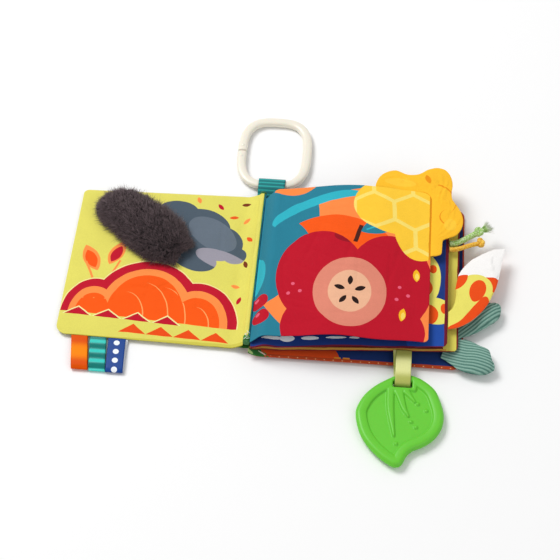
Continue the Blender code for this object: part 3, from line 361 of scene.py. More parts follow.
def paint_meadow(art: Artwork) -> None:
    """Prints rounded hills with ribbed middles, petals, a cloud, zigzags and drops on a yellow ground."""
    above = art.side(-160.0, -56.5, -93.5)
    cloud = art.either(
        art.oval(-137.0, 40.0, 24.0, 20.0, -24.0), art.oval(-120.0, 24.0, 18.0, 18.0),
        art.oval(-108.0, 13.0, 10.0, 9.0), art.oval(-160.0, 55.0, 18.0, 13.0),
        art.oval(-140.0, 7.0, 19.0, 12.0, -20.0), art.oval(-141.0, 22.0, 15.0, 14.0),
    )
    art.paint("#4E5C69", cloud)
    art.paint("#66727F", art.both(cloud, art.oval(-128.0, 34.0, 24.0, 14.0, -38.0)))
    art.paint("#9C98A4", art.both(cloud, art.oval(-117.0, 7.0, 24.0, 9.0, -20.0)))
    art.paint("#FF9148", art.petal(-224.0, 2.0, 29.0, 28.0), art.petal(-204.0, 8.0, 26.0, -22.0))
    art.paint("#F9560E", art.petal(-224.0, 1.0, 20.0, 28.0))
    art.paint("#C2102B", art.petal(-204.0, 7.0, 18.0, -22.0))
    art.paint("#FF9148", art.bar(-203.0, -8.0, 0.9, 9.0, -20.0), art.bar(-224.0, -10.0, 0.9, 9.0, 26.0))
    far_hill, hill, near_hill = (-216.0, -52.0), (-174.0, -50.0), (-133.0, -58.0)
    for colour, grow in (("#F6E79A", 1.0), ("#C2102B", 0.0)):
        art.paint(colour, art.both(above, art.either(
            art.oval(*far_hill, 25.0 + grow, 33.0 + grow), art.oval(*hill, 45.0 + grow, 51.0 + grow),
            art.oval(*near_hill, 34.0 + grow, 40.0 + grow),
        )))
    for colour, shrink in (("#FF9148", 7.5), ("#FC5A0C", 14.0)):
        art.paint(colour, art.both(above, art.either(
            art.oval(*far_hill, 25.0 - 0.8 * shrink, 33.0 - shrink),
            art.oval(*hill, 45.0 - shrink, 51.0 - shrink),
            art.oval(*near_hill, 34.0 - shrink, 40.0 - shrink),
        )))
    core = art.either(art.oval(*hill, 30.0, 36.0), art.oval(*near_hill, 19.5, 25.5))
    ribs = []
    ribbed = ((-190.0, -56.0, 16.0), (-176.0, -56.0, 22.0), (-160.0, -56.0, 20.0), (-133.0, -60.0, 12.0))
    for x, y, radius in ribbed:
        ribs.append(art.less(art.oval(x, y, radius, 1.6 * radius), art.oval(x - 1.0, y, radius, 1.6 * radius)))
    art.paint("#FFA55E", art.both(art.either(*ribs), core, above))
    art.paint("#FF9148", art.both(art.stitches(-216.0, -38.0, 9.0, 1.2, 0.0), art.oval(*far_hill, 16.0, 22.0)))
    art.paint("#F3EDA2", art.zigzag(-239.0, -54.0, 24.0, 8.5, 4, -3.4))
    art.paint("#C2102B", art.zigzag(-239.0, -54.0, 24.0, 8.5, 4, -3.4, inset=1.3))
    art.paint("#EE4E12", art.zigzag(-192.0, -68.5, 22.0, 8.5, 4, -2.8))
    art.paint("#D3CA52", art.beyond(-166.0, 5.0, 130.0, 78.6, 9.0))
    seam = art.both(art.bar(-166.0, -76.0, 130.0, 3.0), art.beyond(-166.0, 5.0, 130.0, 81.4, 9.0))
    art.paint("#A69D34", seam)
    spots = (
        ("#C2102B", ((-124.0, 64.0), (-100.0, -32.0))),
        ("#FF9148", ((-101.0, 50.0), (-143.0, 70.0), (-104.0, -18.0))),
        ("#EE5A1C", ((-112.0, 53.0), (-97.0, 30.0))), ("#7A3418", ((-103.0, 68.0), (-98.0, 4.0))),
    )
    for colour, places in spots:
        art.paint(colour, *(art.petal(x, y, 7.5, 20.0 * x) for x, y in places))


def paint_orchard(art: Artwork) -> None:
    """Prints broad swathes, a cut fruit, berries, a leaf and a corner of honeycomb."""
    hollow = art.oval(-132.0, 34.0, 92.0, 100.0)
    art.paint("#FF8B45", art.less(art.oval(30.0, -10.0, 120.0, 88.0), hollow))
    swathe = art.oval(-26.0, -18.0, 60.0, 61.0, -12.0)
    art.paint("#F8590F", art.less(swathe, art.oval(-92.0, -20.0, 56.0, 70.0)))
    art.paint("#267E95", art.both(art.oval(-46.0, 63.0, 64.0, 14.0, 17.0), art.side(-2.0, 80.0, -62.0)))
    streak = art.less(art.oval(-42.0, 50.0, 40.0, 13.0, 26.0), art.oval(-38.0, 43.0, 44.0, 12.0, 26.0))
    art.paint("#2FB3C4", streak, art.oval(-90.0, -14.0, 10.0, 20.0))
    art.paint("#FF8B45", art.petal(-62.0, 73.0, 36.0, 102.0))
    fruit = art.either(
        art.oval(-35.0, -20.0, 36.0, 46.0, 6.0), art.oval(18.0, -22.0, 35.0, 48.0, -6.0),
        art.oval(-8.0, -66.0, 56.0, 40.0),
    )
    art.paint("#4A1C14", art.bar(-8.0, 25.0, 1.8, 9.0, -14.0))
    art.paint("#BE0B26", fruit)
    art.paint("#980A20", art.both(fruit, art.oval(-12.0, 22.0, 15.0, 7.0)))
    art.paint("#E08872", art.oval(-12.0, -33.0, 29.0, 33.0))
    art.paint("#EDB592", art.oval(-12.0, -33.0, 17.0, 20.0))
    seeds = (
        art.petal(-12.0 + 8.6 * math.sin(turn), -33.0 + 10.0 * math.cos(turn), 9.0, -math.degrees(turn))
        for turn in np.arange(5) * TURN / 5.0
    )
    art.paint("#24130F", *seeds)
    art.paint("#267E95", art.petal(9.0, 35.0, 34.0, -62.0))
    art.paint("#2FB3C4", art.bar(9.0, 35.0, 0.7, 12.0, -62.0))
    freckles = ((-57.0, -27.0), (-51.0, -34.0), (-60.0, -36.0), (27.0, -24.0), (34.0, -31.0), (25.0, -36.0))
    art.paint("#E8617C", *(art.oval(x, y, 1.5) for x, y in freckles))
    berries = ((-82.0, -42.0), (-80.0, -57.0))
    art.paint("#BE0B26", *(art.oval(x, y, 6.6) for x, y in berries))
    art.paint("#E8617C", *(art.oval(x - 2.4, y + 2.8, 1.7) for x, y in berries))
    golden = art.either(
        art.oval(26.5, 60.0, 40.0, 31.0, 8.0), art.oval(42.0, 36.0, 21.0, 31.0),
        art.oval(70.0, 70.0, 50.0, 60.0),
    )
    art.paint("#FFCC38", golden)
    art.paint("#FBE070", art.both(golden, art.comb(36.4, 54.7, 32.5, 3.4, 4.0)))
    art.paint("#DB900F", art.both(golden, art.bar(60.0, 40.0, 10.9, 60.0)))
    art.paint("#FBBC1F", art.petal(40.0, -10.0, 12.0, 4.0), art.petal(30.0, -50.0, 12.0, -8.0))
    art.paint("#FCDC62", art.petal(40.5, -11.0, 7.0, 4.0), art.petal(30.5, -51.0, 7.0, -8.0))


def paint_night(art: Artwork) -> None:
    """Prints pale clouds and a spotted yellow shape on a navy ground with a maroon edge."""
    art.paint("#1F4CA4", art.oval(56.0, -66.0, 22.0, 17.0))
    shape = art.either(art.oval(37.0, -14.0, 22.0, 35.0, -14.0), art.oval(56.0, -38.0, 15.0, 13.0))
    art.paint("#EDE36A", shape)
    spots = (
        art.oval(46.0, -16.0, 7.5, 9.0), art.oval(50.0, -42.0, 8.5, 10.0), art.oval(53.5, 3.0, 3.0, 4.2),
        art.oval(63.0, -35.0, 2.8, 5.0),
    )
    art.paint("#F0520F", art.both(art.either(*spots), shape))
    slivers = ((-69.0, 9.0, 1.3), (-58.0, 6.0, 2.6), (-40.0, 7.0, 1.5), (-20.0, 8.0, 1.1), (-6.0, 4.0, 0.9))
    art.paint("#FFFFFF", *(art.oval(x, -68.4 + 0.054 * x, across, along, 3.1) for x, across, along in slivers))
    art.paint("#6E1426", art.beyond(-36.8, -7.9, 100.3, 82.1, 5.0), art.side(-12.0, -75.0, 93.1))


def paint_straw(art: Artwork) -> None:
    """Prints a russet edge round a straw-coloured cloth, a tan line inside it, and above that a dark maroon
    band as painted shadow under leaf B's edge.
    """
    # The dark maroon band is painted shadow where leaf B's edge overhangs; the tan line and the russet edge
    # are print.
    art.paint("#6A1A1E", art.bar(-24.0, -73.4, 87.5, 5.0, 3.3))
    art.paint("#D9A84A", art.bar(-20.0, -74.3, 86.0, 0.85, 3.3))
    art.paint("#7C1F20", art.beyond(-28.0, -8.0, 101.6, 82.1, 5.0), art.side(-6.0, -74.4, 93.3))


def paint_harbour(art: Artwork) -> None:
    """Prints low orange banks on a navy ground, with a stitched rust edge."""
    art.paint("#E04E18", art.oval(-66.0, -84.0, 50.0, 26.0, 2.0))
    art.paint("#E0922C", art.bar(-18.0, -79.6, 2.6, 0.9), art.bar(-11.0, -79.6, 2.6, 0.9))
    art.paint("#B8451F", art.beyond(-24.0, -2.5, 102.2, 77.4, 9.0))
    art.paint("#E7A878", art.stitches(0.0, -81.6, 7.0, 1.0))
    art.paint("#357A38", art.oval(-91.0, -84.5, 22.0, 12.0, -12.0))
    art.paint("#A9C77C", art.oval(-88.0, -80.0, 1.5, 4.5, 70.0), art.oval(-80.0, -84.0, 1.0, 3.4, 66.0))
    art.paint("#D8502A", art.oval(-75.5, -80.0, 0.6, 4.0, 35.0), art.oval(-71.5, -81.5, 0.5, 3.2, 75.0))
    art.paint("#EFE7D2", art.oval(-77.0, -79.4, 0.5, 3.6, 60.0), art.oval(-73.5, -83.8, 0.45, 3.2, 110.0))


def paint_outer_cover(art: Artwork) -> None:
    """Prints a green field with pale dots inside an olive border."""
    field = art.bar(-166.0, 0.0, 66.0, 66.0)
    art.paint("#4E8F3C", field)
    dots = [art.oval(-166.0 + 26.0 * i, 26.0 * j, 3.4) for i in (-2, -1, 0, 1, 2) for j in (-2, -1, 0, 1, 2)]
    art.paint("#CBE08C", *dots)


def paint_fold_shade_and_highlights(art: Artwork) -> None:
    """Prints painted shade in the golden cloth's folds, and two paler ovals as painted highlights."""
    # The deeper orange arcs, crescent and petal are painted shade where the cloth folds.
    fold = art.less(art.oval(51.0, 69.0, 20.0, 18.0, -8.0), art.oval(50.3, 68.0, 19.7, 17.8, -8.0))
    art.paint("#EF930F", art.both(fold, art.side(52.0, 80.0, 150.0)))
    crescent = art.less(art.oval(66.0, 52.0, 9.0, 9.0), art.oval(66.8, 52.6, 8.9, 8.8))
    art.paint("#EF930F", art.petal(47.0, 91.0, 10.0, 20.0), crescent)
    # The two paler ovals are painted highlights.
    art.paint("#FFC938", art.oval(24.0, 86.0, 13.0, 4.0, -6.0), art.oval(66.0, 44.0, 5.0, 6.0))


def paint_spine(art: Artwork) -> None:
    """Prints the page cloths that wrap the roll from either side, in their two colours."""
    middle = art.bar(-90.0, 2.0, 9.0, 72.0)
    art.paint("#E3DB66", art.both(middle, art.side(-88.9, 0.0, 0.0)))
    art.paint("#267E95", art.both(middle, art.side(-88.4, 0.0, 180.0)))


def paint_tail(art: Artwork) -> None:
    """Prints spots on a yellow cloth that ends in flames and a white tip."""
    art.paint("#FBF9F7", art.bar(0.0, 62.0, 40.0, 19.5), art.bar(17.0, 42.0, 12.0, 14.0))
    art.paint("#EE4E12", art.petal(-15.0, 45.0, 30.0, 80.0))
    art.paint("#EDE36A", art.oval(-3.0, 35.0, 13.0, 13.0))
    art.paint("#EDE36A", art.bar(0.0, 6.0, 30.0, 23.0))
    art.paint("#EE4E12", art.petal(12.5, 32.0, 23.0, 21.0), art.oval(-5.0, 33.0, 6.4, 10.5, -10.0))
    art.paint("#EE4E12", art.oval(-15.5, 14.0, 5.6, 17.0, -6.0), art.oval(18.0, 6.0, 3.0, 5.0))


def paint_dots(art: Artwork) -> None:
    """Prints one row of white dots down a ribbon."""
    art.paint("#F1F6FC", *(art.oval(0.0, 4.4 + 8.2 * step, 2.35) for step in range(8)))



PRINTS = {
    "front_cover": (
        printed("meadow_print", "#E3DB66", paint_meadow),
        printed("outer_cover_print", "#B9B23C", paint_outer_cover),
    ),
    "leaf_a": (printed("orchard_print", "#267E95", paint_orchard), printed("navy_back_cloth", "#18336F")),
    "leaf_b": (printed("night_print", "#1A3880", paint_night), printed("maroon_cloth", "#6E1426")),
    "leaf_c": (printed("straw_print", "#DDD35C", paint_straw), printed("russet_cloth", "#7C1F20")),
    "back_cover": (printed("harbour_print", "#18336F", paint_harbour), printed("rust_cloth", "#A93A1C")),
}
GOLDEN_CLOTH = printed("golden_cloth", "#FFC12B", paint_fold_shade_and_highlights, mottle=0.09)
TAIL_PRINT = printed("tail_print", "#EDE36A", paint_tail, plane=Plane.CLOTH, hand=0.8)
PEACH_CLOTH = printed("peach_cloth", "#F0A080")
SPINE_CLOTH = printed("spine_print", "#3F8A3C", paint_spine, hand=0.3)
GREEN_CLOTH = printed("spine_strip_cloth", "#3F8A3C")
# Wide-wale cotton corduroy: soft brushed ribs, the grooves between them painted darker as shade, in step with
# the grooves of the mesh.
CORDUROY = Finish(
    "wide_wale_corduroy", "#557F74", 0.95, sheen=0.06, specular=0.08, relief=0.25, mottle=0.22,
    pattern=Pattern.RIBS,
    second="#8BB1A3", pitch=2.6, share=0.56, soft=0.4, plane=Plane.CLOTH,
)
# Long plush pile: dark roots, greyer tips, each hair with a faint gloss, over a dull knitted ground.
PLUSH = Finish(
    "plush_pile", "#1E1518", 0.75, sheen=0.1, specular=0.2, mottle=0.4, pattern=Pattern.TIPS, second="#7A686B",
    share=0.34, soft=0.3, plane=Plane.CLOTH,
)
PLUSH_GROUND = Finish("plush_ground", "#272124", 1.0, sheen=0.2, specular=0.1, relief=0.4, mottle=0.3)


# Polyester satin: long floats of thread give a soft, fairly sharp gloss. The paler bands of a satin's second
# colour are painted highlights, where the ribbon would turn to the light.
def satin(name: str, colour: str, roughness: float, **more: object) -> Finish:
    """Gives a satin ribbon of a colour."""
    return Finish(name, colour, roughness, **{"relief": 0.04, "thread": 0.5, "plane": Plane.CLOTH, **more})


# The paler orange band along the tag is a painted highlight.
ORANGE_SATIN = satin(
    "orange_satin", "#E05200", 0.42, specular=0.08, mottle=0.06, pattern=Pattern.BANDS, second="#FB8806",
    pitch=30.0,
    share=0.42, soft=0.4,
)
# The paler band in the middle of the ribbon is a painted highlight.
PALE_SATIN = satin(
    "pale_satin", "#B4B95E", 0.3, specular=0.25, mottle=0.08, pattern=Pattern.BANDS, second="#E6E79C",
    pitch=29.0,
    soft=0.4,
)
WHITE_SATIN = satin("white_satin", "#E6E9EE", 0.4, specular=0.4)
BLUE_SATIN = satin("blue_dotted_satin", "#0B418F", 0.42, specular=0.25, artwork=paint_dots, mottle=0.12)
# The pale teal bands are painted highlights on the ribbon's ripples, at the ripples' pitch.
TEAL_SATIN = satin(
    "teal_satin", "#067F78", 0.3, specular=0.3, relief=0.06, mottle=0.08, pattern=Pattern.BANDS,
    second="#3CD2C6",
    pitch=9.0, share=0.46, soft=0.35,
)
# Grosgrain: close ribs across a matt ribbon, with paler cords at even steps.
TEAL_GROSGRAIN = Finish(
    "teal_grosgrain", "#03797C", 0.5, specular=0.3, sheen=0.05, relief=0.15, thread=0.7, pattern=Pattern.BANDS,
    second="#22AFAA", pitch=3.6, share=0.24, plane=Plane.CLOTH,
)
# Braided cotton cord: dry and matt, flecked with paler threads; its frayed end pales towards the tips.
GREEN_YARN = Finish(
    "green_braid", "#8FBF55", 0.9, sheen=0.1, relief=0.2, pattern=Pattern.FLECKS, second="#DCEBC0", pitch=1.1,
    share=0.45,
)
GREEN_TUFT = Finish(
    "green_frayed_cotton", "#A5CC74", 0.9, sheen=0.15, pattern=Pattern.TIPS, second="#E4F0CF",
    plane=Plane.CLOTH,
)
YELLOW_YARN = Finish(
    "yellow_braid", "#E39F1C", 0.9, sheen=0.1, relief=0.2, pattern=Pattern.FLECKS, second="#F6CC55", pitch=1.1,
)
# Sewing thread: a faint gloss, broken by what shows between its turns.
WHITE_THREAD = Finish(
    "white_thread", "#F0EDE8", 0.7, sheen=0.1, relief=0.08, pattern=Pattern.FLECKS, second="#D8483A",
    pitch=2.6,
    share=0.36,
)
GREEN_THREAD = Finish(
    "green_thread", "#2F6F36", 0.7, sheen=0.1, relief=0.08, pattern=Pattern.FLECKS, second="#79A86E",
    pitch=1.6,
    share=0.3,
)
# Moulded polypropylene: smooth, slightly waxy and a little translucent.
RING_PLASTIC = Finish("moulded_ring_plastic", "#F0EADA", 0.3, relief=0.015, mottle=0.012, coat=0.1, glow=0.08)
# Moulded silicone: soft-looking, semi-matt, a little translucent.
SILICONE = Finish("teether_silicone", "#68CB33", 0.4, specular=0.4, relief=0.03, mottle=0.03, glow=0.08)
# Polyester wadding: white and quite dull, its surface broken by loose fibres.
WADDING = Finish("polyester_wadding", "#EFEFEC", 1.0, sheen=0.2, relief=0.6)
# Crackle film: a thin pale foil, smooth and glossy between its creases.
CRINKLE_FILM = Finish("crackle_film_sheet", "#DDE1E5", 0.22, relief=0.3, mottle=0.04, coat=0.3)


def unit(vectors: Array) -> Array:
    """Gives vectors at a length of one, each along the last axis."""
    return vectors / np.linalg.norm(vectors, axis=-1, keepdims=True)


def circle(count: int) -> Array:
    """Gives angles evenly round a full turn."""
    return np.linspace(0.0, TURN, count + 1)[:-1]


def heading(angle: float) -> tuple[Array, Array]:
    """Gives the level direction at an angle from X in degrees, and the one to its left."""
    turn = math.radians(angle)
    return np.array([math.cos(turn), math.sin(turn), 0.0]), np.array([-math.sin(turn), math.cos(turn), 0.0])


def squared(values: Array, power: float) -> Array:
    """Gives values to a power that keeps their sign, which squares off a circle."""
    return np.sign(values) * np.abs(values) ** power


def arc_lengths(path: Array) -> Array:
    """Gives the length along a path up to each of its points."""
    return np.concatenate([[0.0], np.cumsum(np.linalg.norm(np.diff(path, axis=0), axis=1))])


def read(at: Array, places: Array, rows: Array) -> Array:
    """Reads rows of numbers that belong to places at other places, in straight steps."""
    return np.stack([np.interp(at, places, column) for column in rows.T], axis=1)


def cubic(start: Array, end: Array, start_way: Array, end_way: Array, t: Array) -> Array:
    """Gives the cubic from start to end that leaves and arrives with the given tangents."""
    return (
        (2 * t**3 - 3 * t**2 + 1) * start + (t**3 - 2 * t**2 + t) * start_way
        + (-2 * t**3 + 3 * t**2) * end + (t**3 - t**2) * end_way
    )


def smooth(values: Array, count: int) -> Array:
    """Reads values at an even count from the cubic through them, whose slopes are centred differences."""
    values = np.asarray(values, float)
    place = np.linspace(0.0, len(values) - 1.0, count)
    slopes = np.gradient(values, axis=0)
    i = np.clip(place.astype(int), 0, len(values) - 2)
    t = (place - i).reshape((-1,) + (1,) * (values.ndim - 1))
    return cubic(values[i], values[i + 1], slopes[i], slopes[i + 1], t)


def pillow(distance: Array, ramp: float) -> Array:
    """Gives the share of a full rise at a distance in from an edge: a quarter of an ellipse over the ramp."""
    inside = np.clip(np.asarray(distance, float) / ramp, 0.0, 1.0)
    return np.sqrt(1.0 - (1.0 - inside) ** 2)


def puffed(points: Array, crown: Array) -> tuple[Array, Array]:
    """Gives the upper and the lower cloth, a crown over and under a middle surface."""
    lift = crown[..., None] * (0.0, 0.0, 1.0)
    return points + lift, points - lift


def quads(index: Array) -> Array:
    """Gives the four-sided faces of a grid of vertex numbers."""
    return np.stack([index[:-1, :-1], index[1:, :-1], index[1:, 1:], index[:-1, 1:]], axis=-1).reshape(-1, 4)


def outward(points: Array, faces: Array) -> Array:
    """Turns the faces of a closed surface outwards, so that its volume by corner products is positive."""
    a, b, c, d = (points[faces[:, corner]] for corner in range(4))
    volume = np.einsum("ij,ij->", a, np.cross(b, c)) + np.einsum("ij,ij->", a, np.cross(c, d))
    return faces if volume > 0.0 else faces[:, ::-1]


def put_mesh(
    name: str, points: Array, faces: Array, uv: Array | None = None, slots: Array | None = None
) -> Piece:
    """Puts points and faces into a smooth mesh on a new object at the origin.

    Args:
        name: The piece's name.
        points: One row of three numbers for each vertex.
        faces: One row of vertex numbers for each face. A corner given twice in a row counts once.
        uv: Place on the cloth of each vertex, in metres.
        slots: Material slot of each face.

    Returns:
        The new object.
    """
    mesh = bpy.data.meshes.new(name)
    mesh.vertices.add(len(points))
    mesh.vertices.foreach_set("co", points.astype(np.float32).ravel())
    kept = faces != np.roll(faces, 1, axis=1)
    corners = faces[kept].astype(np.int32)
    mesh.loops.add(len(corners))
    mesh.loops.foreach_set("vertex_index", corners)
    mesh.polygons.add(len(faces))
    starts = np.cumsum(kept.sum(axis=1)) - kept.sum(axis=1)
    mesh.polygons.foreach_set("loop_start", starts.astype(np.int32))
    if uv is not None:
        layer = mesh.uv_layers.new(name="cloth")
        layer.uv.foreach_set("vector", uv[corners].astype(np.float32).ravel())
    if slots is not None:
        mesh.polygons.foreach_set("material_index", slots.astype(np.int32))
    mesh.update(calc_edges=True)
    mesh.validate()
    mesh.shade_smooth()
    piece = bpy.data.objects.new(name, mesh)
    bpy.context.scene.collection.objects.link(piece)
    return piece


def put_sheet(
    name: str, grid: Array, thickness: float, offset: float = -1.0, flip: bool = False, uv: Array | None = None
) -> Piece:
    """Puts a grid of points into a sheet that a modifier thickens.

    Args:
        name: The piece's name.
        grid: Points of the sheet.
        thickness: Thickness of the sheet.
        offset: Side to which it thickens, from -1 behind its faces to 1 in front.
        flip: Whether its faces turn the other way.
        uv: Place on the cloth of each point, in metres.

    Returns:
        The new object.
    """
    faces = quads(np.arange(grid[..., 0].size).reshape(grid.shape[:2]))
    piece = put_mesh(name, grid.reshape(-1, 3), faces[:, ::-1] if flip else faces, uv)
    thick = piece.modifiers.new("thickness", "SOLIDIFY")
    thick.thickness = thickness
    thick.offset = offset
    return piece


def put_sewn(name: str, front: Array, back: Array, uv: Array | None = None, two_cloths: bool = False) -> Piece:
    """Puts two grids that share their rim into one closed surface, as two cloths sewn edge to edge.

    Args:
        name: The piece's name.
        front: Points of the upper cloth.
        back: Points of the lower cloth, on the same rim.
        uv: Place on the cloth of each point, in metres.
        two_cloths: Whether the lower cloth takes a material slot of its own.

    Returns:
        The new object.
    """
    rows, columns = front.shape[:2]
    inner = np.zeros((rows, columns), bool)
    inner[1:-1, 1:-1] = True
    upper = np.arange(rows * columns).reshape(rows, columns)
    lower = upper.copy()
    lower[inner] = rows * columns + np.arange(inner.sum())
    points = np.concatenate([front.reshape(-1, 3), back[inner]])
    faces = np.concatenate([quads(upper), quads(lower)[:, ::-1]])
    if uv is not None:
        uv = np.concatenate([uv.reshape(-1, 2), uv[inner]])
    slots = np.repeat([0, 1], len(faces) // 2) if two_cloths else None
    return put_mesh(name, points, outward(points, faces), uv, slots)


def put_tubes(name: str, *tubes: Array, uv: Array | None = None) -> Piece:
    """Puts tubes of rings into one piece, each shut by a fan to a point at either end.

    Args:
        name: The piece's name.
        tubes: Rings of points for each tube, one row for each ring.
        uv: Place on the cloth of each point of a single tube, in metres.

    Returns:
        The new object.
    """
    points, faces, count = [], [], 0
    for tube in tubes:
        rows, columns = tube.shape[:2]
        index = np.arange(rows * columns).reshape(rows, columns)
        ends = rows * columns + np.repeat([[0], [1]], columns + 1, axis=1)
        index = np.concatenate([ends[:1], np.concatenate([index, index[:, :1]], axis=1), ends[1:]])
        points.append(np.concatenate([tube.reshape(-1, 3), tube[[0, -1]].mean(axis=1)]))
        faces.append(outward(points[-1], quads(index)) + count)
        count += len(points[-1])
    if uv is not None:
        uv = np.concatenate([uv.reshape(-1, 2), uv[[0, -1]].mean(axis=1)])
    return put_mesh(name, np.concatenate(points), np.concatenate(faces), uv)


def frames_along(path: Array) -> tuple[Array, Array]:
    """Gives two steady directions across a path at each of its points."""
    ways = unit(np.gradient(path, axis=0))
    up = np.array([0.0, 0.0, 1.0]) if np.abs(ways[:, 2]).max() < 0.9 else np.array([0.0, 1.0, 0.0])
    across = unit(np.cross(ways, up))
    return across, np.cross(across, ways)


def rings(path: Array, across: Array, over: Array, wide: Array, high: Array) -> Array:
    """Gives rings of points: each point of a path plus its two cross directions by a ring's coordinates."""
    return path[:, None, :] + across[:, None, :] * wide[..., None] + over[:, None, :] * high[..., None]


def round_tube(path: Array, radius: Array, sides: int) -> Array:
    """Gives rings of points round a path: each ring is a circle in the plane across it."""
    turn = circle(sides)
    return rings(path, *frames_along(path), radius * np.cos(turn), radius * np.sin(turn))


def spikes(
    name: str, start: Array, bend: Array, tip: Array, radius: float, source: np.random.Generator
) -> Piece:
    """Puts closed three-sided spikes, each from a start through a bend to a tip, into one piece.

    Args:
        name: The piece's name.
        start: Where each begins.
        bend: Where each bends.
        tip: Where each ends.
        radius: Radius at the start.
        source: Where each spike's turn comes from.

    Returns:
        The new object. Its cloth place holds a number of its own for each spike, and the share along it.
    """
    count = len(start)
    way = unit(tip - start)
    side = unit(np.cross(way, np.array([0.31, 0.17, 0.93])))
    other = np.cross(way, side)
    turns = source.uniform(0.0, TURN, count)[:, None] + circle(3)
    cross = side[:, None, :] * np.cos(turns)[..., None] + other[:, None, :] * np.sin(turns)[..., None]
    points = [start[:, None, :] + radius * cross, bend[:, None, :] + 0.75 * radius * cross, tip[:, None, :]]
    sides = [((i, j, 3 + j), (i, 3 + j, 3 + i), (3 + i, 3 + j, 6)) for i, j in ((0, 1), (1, 2), (2, 0))]
    local = np.array([(2, 1, 0), *(face for side in sides for face in side)])
    faces = (local + 7 * np.arange(count)[:, None, None]).reshape(-1, 3)
    share = np.repeat([0.0, 0.55, 1.0], (3, 3, 1)) * MM
    number = np.repeat(source.uniform(0.0, 40.0, count) * MM, 7)
    uv = np.stack([number, np.tile(share, count)], axis=1)
    return put_mesh(name, np.concatenate(points, axis=1).reshape(-1, 3), faces, uv)


def hand_over(
    piece: Piece, body: str, slot: str, finishes: tuple[Finish, ...], *nodes: str,
    bend: tuple[str, Array, Array] | None = None,
) -> Piece:
    """Dresses a piece, lets it ride on its body unless it crosses a joint, and hides the CAD nodes it stands
    for.

    Args:
        piece: The finished piece.
        body: The CAD body that it rides on.
        slot: The record's material slot. Not used.
        finishes: One finish for each material slot of its mesh.
        nodes: The CAD nodes that it stands for.
        bend: For cloth across a joint, the body behind it and the places where the bend starts and ends. Only
            whether it is given is read: such a piece stays fixed in the frame of the part and is not bent.

    Returns:
        The piece.
    """
    for finish in finishes:
        piece.data.materials.append(finish.material())
    if bend:
        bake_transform(piece)
    else:
        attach(piece, body)
    if nodes:
        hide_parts(*nodes)
    LOG.info("%s on %s: %d faces", piece.name, body, len(piece.data.polygons))
    return piece


